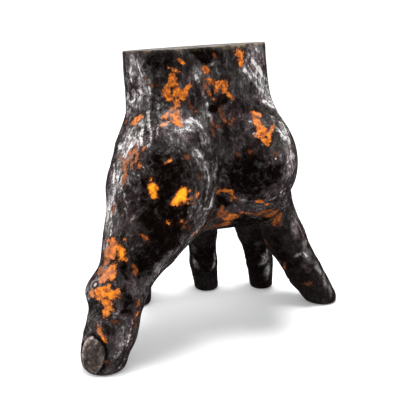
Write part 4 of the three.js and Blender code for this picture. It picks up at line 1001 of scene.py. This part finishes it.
def grains(where, per_mm, detail=3.0, rough=0.55, twist=0.0, out=0):
    return node("ShaderNodeTexNoise", out=out, Vector=where, Scale=per_mm, Detail=detail, Roughness=rough, Distortion=twist)


def blend(f, a, b):
    return node("ShaderNodeMix", out=2, props={"data_type": "RGBA"}, i0=f, i6=a, i7=b)


def attribute(name, out=2):
    return node("ShaderNodeAttribute", out=out, props={"attribute_name": name})


where = scaled(node("ShaderNodeTexCoord", out=3), 1000.0)
wander = vec("SUBTRACT", grains(where, 0.20, 3.0, out=1), (0.5, 0.5, 0.5))
flow = vec("ADD", attribute("grain", out=1), scaled(wander, 3.4))

field = attribute("patch")
for row in narrow:
    t1, t2 = Vector(row[3:6]), Vector(row[6:9])
    l1, l2 = max(t1.length, 0.35), max(t2.length, 0.35)
    x = t1.normalized()
    z = x.cross(t2).normalized()
    y = z.cross(x)
    turn = Matrix((x, y, z)).transposed().to_euler()
    local = node("ShaderNodeMapping", props={"vector_type": "TEXTURE"}, i0=where, i1=row[0:3], i2=tuple(turn), i3=(l1, l2, max(1.4, l2)))
    size = node("ShaderNodeVectorMath", out=1, props={"operation": "LENGTH"}, i0=local)
    least = min(l1, l2)
    field = math_("MAXIMUM", field, math_("MULTIPLY_ADD", size, -least, least + 0.10))
holes = None
for row in SPOTS:
    t1, t2 = Vector(row[3:6]), Vector(row[6:9])
    l1, l2 = max(t1.length, 0.3), max(t2.length, 0.3)
    x = t1.normalized()
    z = x.cross(t2).normalized()
    y = z.cross(x)
    turn = Matrix((x, y, z)).transposed().to_euler()
    local = node("ShaderNodeMapping", props={"vector_type": "TEXTURE"}, i0=where, i1=row[0:3], i2=tuple(turn), i3=(l1, l2, max(1.4, l2)))
    size = node("ShaderNodeVectorMath", out=1, props={"operation": "LENGTH"}, i0=local)
    least = min(l1, l2)
    away = math_("MULTIPLY_ADD", size, least, -least)
    holes = away if holes is None else math_("MINIMUM", holes, away)

fray = math_("MULTIPLY_ADD", grains(where, 0.62, 3.0, 0.6), 2.3, -1.29)
fray_fine = math_("MULTIPLY_ADD", grains(where, 1.7, 3.0, 0.65), 1.7, -0.85)
edge = math_("ADD", math_("ADD", field, fray), fray_fine)
edge = math_("MINIMUM", edge, math_("ADD", holes, math_("MULTIPLY", fray_fine, 0.6)))
# a few stray grains of orange away from the patches
stray = math_("ADD", step(grains(where, 0.9, 4.0, 0.7), 0.735, 0.80, -1.0, 0.6), 0.0)
edge = math_("MAXIMUM", edge, stray)
orange = step(edge, -0.24, 0.30)
halo = step(math_("ADD", edge, math_("MULTIPLY", fray, 0.5)), -1.5, 0.2)

# The ground between the patches: how dark it is goes up and down by doublings, so that fine
# pale threads, which follow the limbs, stand on near-black.
cloud = grains(where, 0.13, 3.0, 0.6)
mottle = grains(vec("ADD", where, scaled(wander, 6.0)), 0.42, 4.0, 0.66)
threads = grains(flow, 0.62, 4.0, 0.70, 0.25)
fine = grains(flow, 1.5, 3.0, 0.70, 0.2)
grit = grains(where, 1.6, 3.0, 0.7)
pale_and_sheen, black_and_shade = attribute("pale_and_sheen"), attribute("black_and_shade")
pale_and_sheen = math_("MULTIPLY", pale_and_sheen, step(math_("MULTIPLY_ADD", math_("SUBTRACT", mottle, 0.5), 1.3, pale_and_sheen), 0.10, 0.42))
black_and_shade = math_("MULTIPLY", black_and_shade, step(mottle, 0.34, 0.62, 1.45, 0.45))
calm = attribute("calm")
# the pale zones, pale stone and painted highlights, raise the ground
level = math_("MULTIPLY_ADD", pale_and_sheen, 3.15, -6.95)
# the black zones, dark stone and painted shade, lower it
level = math_("MULTIPLY_ADD", black_and_shade, -5.6, level)
level = math_("MULTIPLY_ADD", calm, -0.5, level)
lively = math_("MULTIPLY_ADD", mottle, 9.0, math_("MULTIPLY_ADD", cloud, 5.0, -7.0))
lively = math_("MULTIPLY_ADD", threads, 11.0, math_("ADD", lively, -5.5))
lively = math_("MULTIPLY_ADD", fine, 9.0, math_("ADD", lively, -4.5))
lively = math_("MULTIPLY_ADD", grit, 4.0, math_("ADD", lively, -2.0))
# thin pale lines that wander through the ground like crackle
half_grain = vec("ADD", scaled(where, 0.45), scaled(attribute("grain", out=1), 0.55))
half_grain = vec("ADD", half_grain, scaled(wander, 5.0))
line_a = math_("ABSOLUTE", math_("ADD", grains(half_grain, 0.36, 3.0, 0.62, 0.5), -0.5))
line_b = math_("ABSOLUTE", math_("ADD", grains(vec("ADD", half_grain, (31, 7, 3)), 0.62, 2.0, 0.6, 0.6), -0.5))
crackle = math_("MAXIMUM", step(line_a, 0.0, 0.040, 1.0, 0.0), step(line_b, 0.0, 0.034, 0.8, 0.0))
crackle = math_("MULTIPLY", crackle, step(mottle, 0.38, 0.58, 0.25, 1.0))
crackle = math_("MULTIPLY", crackle, math_("MULTIPLY_ADD", math_("MINIMUM", pale_and_sheen, 1.1), 1.5, 0.9))
lively = math_("ADD", lively, crackle)
quiet = math_("MULTIPLY_ADD", calm, -0.55, math_("MULTIPLY_ADD", black_and_shade, -0.30, 1.0))
level = math_("MULTIPLY_ADD", lively, quiet, level)
# the pale lines lift the ground: seams in the stone, and painted highlights along the wrist tendon, the thenar's rim
# and other ridges
seam_and_highlight_lift = math_("MULTIPLY", step(math_("MULTIPLY_ADD", fray_fine, 0.22, attribute("seam_and_highlight")), -0.05, 0.25), step(level, -9.0, -4.5, 2.0, 2.8))
level = math_("ADD", level, seam_and_highlight_lift)
level = node("ShaderNodeMix", i0=attribute("nail"), i2=level, i3=math_("MULTIPLY_ADD", lively, 0.45, -4.1))
# painted shade: the nail grooves of every finger are darkened
level = math_("MULTIPLY_ADD", step(attribute("groove"), 0.35, 0.9), -2.5, level)
# the thumbnail's own outline, painted lighter on its left and darker in its middle as painted shading, with a painted
# shade line in its groove, and small pits, pale beads and painted glints
n_out, n_axis = Vector(THUMBNAIL[1]).normalized(), Vector(THUMBNAIL[2])
n_axis = (n_axis - n_out * n_axis.dot(n_out)).normalized()
turn = Matrix((n_axis.cross(n_out), n_axis, n_out)).transposed().to_euler()
local = node("ShaderNodeMapping", props={"vector_type": "TEXTURE"}, i0=vec("ADD", where, scaled(wander, 1.2)), i1=THUMBNAIL[0], i2=tuple(turn), i3=(THUMBNAIL[3], THUMBNAIL[4], 5.0))
parts = tree.nodes.new("ShaderNodeSeparateXYZ")
tree.links.new(local, parts.inputs[0])
part_x, part_y, part_z = (math_("ABSOLUTE", parts.outputs[k]) for k in range(3))
nail_r = math_("POWER", math_("ADD", math_("POWER", part_x, 2.6), math_("POWER", part_y, 2.6)), 1 / 2.6)
beneath = step(part_z, 1.0, 1.15, 1.0, 0.0)
plate = math_("MULTIPLY", step(nail_r, 0.93, 1.0, 1.0, 0.0), beneath)
groove = math_("MULTIPLY", step(math_("ABSOLUTE", math_("ADD", nail_r, -1.06)), 0.01, 0.08, 1.0, 0.0), beneath)
groove = math_("MULTIPLY", groove, step(parts.outputs[1], -1.0, -0.6))
groove = math_("MULTIPLY", groove, step(parts.outputs[0], -0.5, 0.4, 0.35, 1.0))
# painted light on the thumbnail: lighter towards its left side and its rim, darker in its middle
nail_painted_light_level = math_("ADD", step(parts.outputs[0], -0.95, -0.15, -3.2, -5.1), step(nail_r, 0.55, 0.95, 0.0, 0.6))
level = node("ShaderNodeMix", i0=plate, i2=level, i3=math_("MULTIPLY_ADD", lively, 0.50, nail_painted_light_level))
# painted shade: a dark line along the thumbnail's groove, strongest on its right side
level = math_("MULTIPLY_ADD", groove, -2.6, level)
# the pits darken; the palest beads are painted glints
for at, size, amount in PITS_AND_GLINTS:
    away = node("ShaderNodeVectorMath", out=1, props={"operation": "DISTANCE"}, i0=where, i1=at)
    level = node("ShaderNodeMix", i0=step(away, size * 0.75, size * 1.2, 1.0, 0.0), i2=level, i3=amount)
# a soft grey ground lies under the threads, clouded, stronger in the pale zones with their painted highlights, and
# missing where the stone is black or painted in shade
soft = step(grains(where, 0.10, 2.0, 0.5), 0.40, 0.62, 0.25, 1.0)
soft = math_("MULTIPLY", soft, math_("MULTIPLY_ADD", math_("MINIMUM", attribute("pale_and_sheen"), 1.1), 0.022, 0.014))
soft = math_("MULTIPLY", soft, step(black_and_shade, 0.0, 0.5, 1.0, 0.0))
soft = math_("MULTIPLY", soft, step(lively, -4.5, 2.5, 0.35, 1.7))
soft = math_("MULTIPLY", soft, math_("SUBTRACT", 1.0, math_("MULTIPLY", calm, 0.8)))
soft = math_("MULTIPLY", soft, math_("SUBTRACT", 1.0, math_("MAXIMUM", plate, groove)))
veil = math_("MINIMUM", math_("ADD", math_("POWER", 2.0, level), soft), 0.60)
plum = step(grains(where, 0.11, 3.0, 0.5), 0.47, 0.62)
tint = blend(step(veil, 0.02, 0.2), (1.08, 0.97, 0.94, 1), (1.02, 0.99, 0.97, 1))
tint = blend(math_("MULTIPLY", plum, step(veil, 0.04, 0.22, 0.85, 0.15)), tint, (1.28, 0.88, 0.96, 1))
tint = blend(math_("MULTIPLY", plate, 0.8), tint, (1.25, 0.96, 0.84, 1))
base = node("ShaderNodeVectorMath", props={"operation": "SCALE"}, i0=tint, Scale=veil)
base = blend(math_("MULTIPLY", halo, 0.35), base, (0.045, 0.012, 0.003, 1))

# orange grains, brighter and yellower inside
glow_and_shade = attribute("glow_and_shade")
ore = grains(where, 0.75, 4.0, 0.62)
shade = step(lively, -4.5, 1.5, 0.45, 1.08)
tone = blend(step(ore, 0.37, 0.62), (0.20, 0.040, 0.007, 1), (0.68, 0.185, 0.011, 1))
tone = blend(math_("MULTIPLY", step(edge, 0.2, 1.2), step(glow_and_shade, 0.9, 1.0)), tone, (1.0, 0.375, 0.002, 1))
tone = blend(math_("MULTIPLY", attribute("blush"), 0.7), tone, (0.50, 0.23, 0.15, 1))
# patches of low brightness turn dark brown: partly duller orange in the stone, partly painted shade on patches under
# the hand
tone = blend(step(glow_and_shade, 0.85, 0.30, 0.0, 0.95), tone, (0.070, 0.020, 0.008, 1))
tone = vec("MULTIPLY", tone, node("ShaderNodeCombineXYZ", i0=shade, i1=shade, i2=shade))
base = blend(orange, base, tone)
# the cut face: the same stone dulled to grey by the saw, its darker grains showing through
sawn_tone = blend(step(grains(where, 0.16, 4.0, 0.62), 0.40, 0.58), (0.10, 0.088, 0.078, 1), (0.25, 0.235, 0.215, 1))
sawn_tone = blend(step(grains(where, 0.30, 3.0, 0.6), 0.60, 0.66, 0.0, 0.75), sawn_tone, (0.055, 0.046, 0.044, 1))
base = blend(math_("MULTIPLY", attribute("sawn"), 0.93), base, sawn_tone)
# a light brown band just under the cut
upright = node("ShaderNodeVectorMath", out=1, props={"operation": "DOT_PRODUCT"}, i0=where, i1=tuple(SAW_NORMAL))
below = math_("MULTIPLY_ADD", upright, -1.0, float(SAW_AT @ SAW_NORMAL))
under_cut_band = math_("MULTIPLY", step(math_("MULTIPLY_ADD", math_("SUBTRACT", mottle, 0.5), 5.0, below), 0.0, 1.5, 1.0, 0.0), math_("SUBTRACT", 1.0, attribute("sawn")))
under_cut_band = math_("MULTIPLY", under_cut_band, step(grains(where, 0.13, 3.0, 0.6), 0.46, 0.56, 0.15, 1.0))
base = blend(math_("MULTIPLY", under_cut_band, 0.5), base, (0.34, 0.26, 0.17, 1))

rough = math_("ADD", math_("MULTIPLY", step(mottle, 0.3, 0.7), 0.14), 0.16)
rough = math_("ADD", rough, math_("MULTIPLY", veil, 0.25))
rough = math_("ADD", rough, math_("MULTIPLY", orange, 0.10), clamp=True)
rough = math_("MULTIPLY_ADD", attribute("sawn"), 0.10, rough)

bump_height = math_("ADD", math_("MULTIPLY", threads, 1.1), math_("MULTIPLY", grains(where, 0.7, 4.0, 0.6), 0.6))
bump_height = math_("MULTIPLY", bump_height, math_("MULTIPLY_ADD", calm, -0.6, 1.0))
bump_height = math_("MULTIPLY_ADD", plate, 0.8, math_("MULTIPLY_ADD", groove, -0.9, bump_height))
bump = tree.nodes.new("ShaderNodeBump")
bump.inputs["Strength"].default_value = 0.55
bump.inputs["Distance"].default_value = 0.00045
tree.links.new(bump_height, bump.inputs["Height"])

shine = tree.nodes.new("ShaderNodeBsdfPrincipled")
shine.inputs["IOR"].default_value = 1.46
shine.inputs["Specular IOR Level"].default_value = 0.32
shine.inputs["Coat Weight"].default_value = 0.0
tree.links.new(base, shine.inputs["Base Color"])
tree.links.new(rough, shine.inputs["Roughness"])
tree.links.new(bump.outputs[0], shine.inputs["Normal"])
# the orange patches also give off a painted glow (emission in their own colour), stronger for the brighter patches
tree.links.new(tone, shine.inputs["Emission Color"])
painted_glow_strength = math_("MULTIPLY", orange, step(glow_and_shade, 0.3, 1.0, 0.02, 0.30))
tree.links.new(painted_glow_strength, shine.inputs["Emission Strength"])
end = tree.nodes.new("ShaderNodeOutputMaterial")
tree.links.new(shine.outputs[0], end.inputs["Surface"])
if hasattr(stone, "cycles"):
    stone.cycles.emission_sampling = "NONE"
mesh.materials.append(stone)

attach(hand, "root")
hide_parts("carved_hand")

# ---------------------------------------------------------------- floor, light and camera
scene = bpy.context.scene
scene.view_settings.view_transform = "Standard"
scene.view_settings.look = "None"
scene.view_settings.exposure = 0
scene.view_settings.gamma = 1


def plain(name):
    m = bpy.data.materials.new(name)
    m.use_nodes = True
    m.node_tree.nodes.clear()
    return m


paper = plain("paper")
tree = paper.node_tree
diffuse = node("ShaderNodeBsdfDiffuse", Color=(0.88, 0.88, 0.88, 1))
# the paper glows with a painted white light, weak near the hand and stronger further out, on top of its diffuse shading
spread = node("ShaderNodeVectorMath", out=1, props={"operation": "LENGTH"}, i0=node("ShaderNodeTexCoord", out=3))
lift_light = node("ShaderNodeMapRange", props={"interpolation_type": "SMOOTHERSTEP"}, i0=spread, i1=0.12, i2=0.75, i3=0.20, i4=0.75)
white = node("ShaderNodeEmission", Color=(1, 1, 1, 1), Strength=lift_light)
both = node("ShaderNodeAddShader", i0=diffuse, i1=white)
tree.links.new(both, tree.nodes.new("ShaderNodeOutputMaterial").inputs["Surface"])
bpy.ops.mesh.primitive_plane_add(size=12, location=(0, 0, 0))
floor = bpy.context.object
floor.name = "floor"
floor.data.materials.append(paper)
floor.visible_glossy = False

world = bpy.data.worlds.new("studio")
world.use_nodes = True
tree = world.node_tree
tree.nodes.clear()
path = tree.nodes.new("ShaderNodeLightPath")
sky = node("ShaderNodeBackground", Color=(1, 1, 1, 1), Strength=1.05)
room = node("ShaderNodeBackground", Color=(0.97, 0.98, 1.0, 1), Strength=0.58)
dim = node("ShaderNodeBackground", Color=(0.95, 0.97, 1.0, 1), Strength=0.03)
inner_mix = node("ShaderNodeMixShader", i0=path.outputs["Is Glossy Ray"], i1=room, i2=dim)
outer_mix = node("ShaderNodeMixShader", i0=path.outputs["Is Camera Ray"], i1=inner_mix, i2=sky)
tree.links.new(outer_mix, tree.nodes.new("ShaderNodeOutputWorld").inputs["Surface"])
scene.world = world

EYE_M = Vector((-0.0846, -0.2328, 0.118))
AHEAD = Vector((0.3291, 0.9042, -0.2723)).normalized()
RIGHT = AHEAD.cross(Vector((0, 0, 1))).normalized()
BACK = Vector((-RIGHT.y, RIGHT.x, 0))       # level, away from the camera
CENTRE = Vector((0, 0, 0.055))


def softbox(name, side, back, up, wide, tall, power, tint=(1, 1, 1)):
    data = bpy.data.lights.new(name, "AREA")
    data.shape = "RECTANGLE"
    data.size, data.size_y = wide, tall
    data.energy = power
    data.color = tint
    o = bpy.data.objects.new(name, data)
    scene.collection.objects.link(o)
    o.location = CENTRE + RIGHT * side + BACK * back + Vector((0, 0, up))
    o.rotation_mode = "QUATERNION"
    o.rotation_quaternion = (CENTRE - o.location).to_track_quat("-Z", "Y")
    return o


left = softbox("left", -0.55, 0.10, 0.22, 0.70, 0.80, 5.6)
right = softbox("right", 0.55, 0.16, 0.20, 0.65, 0.80, 5.2)
softbox("above", 0.0, 0.0, 0.60, 0.22, 0.22, 5.0)
card = softbox("card", -0.015, 0.014, -0.027, 0.080, 0.018, 0.008)
low_card = softbox("low card", -0.045, -0.058, -0.037, 0.040, 0.016, 0.009)
# the two side lights are flagged off the paper, so that only the one above throws a shadow on it
lit_pieces = bpy.data.collections.new("lit from the sides")
lit_pieces.objects.link(hand)
for o in (left, right):
    o.light_linking.receiver_collection = lit_pieces
    o.visible_glossy = False
floor_only = bpy.data.collections.new("paper only")
floor_only.objects.link(floor)
for o in (card, low_card):
    o.rotation_quaternion = (1, 0, 0, 0)
    o.visible_glossy = o.visible_camera = False
    o.light_linking.receiver_collection = floor_only

cam = bpy.data.cameras.new("camera")
cam.lens = 54.69
cam.sensor_width = 36
cam.clip_start, cam.clip_end = 0.01, 50
camera = bpy.data.objects.new("camera", cam)
scene.collection.objects.link(camera)
camera.location = EYE_M
camera.rotation_mode = "QUATERNION"
camera.rotation_quaternion = AHEAD.to_track_quat("-Z", "Y")
scene.camera = camera

bpy.context.view_layer.update()
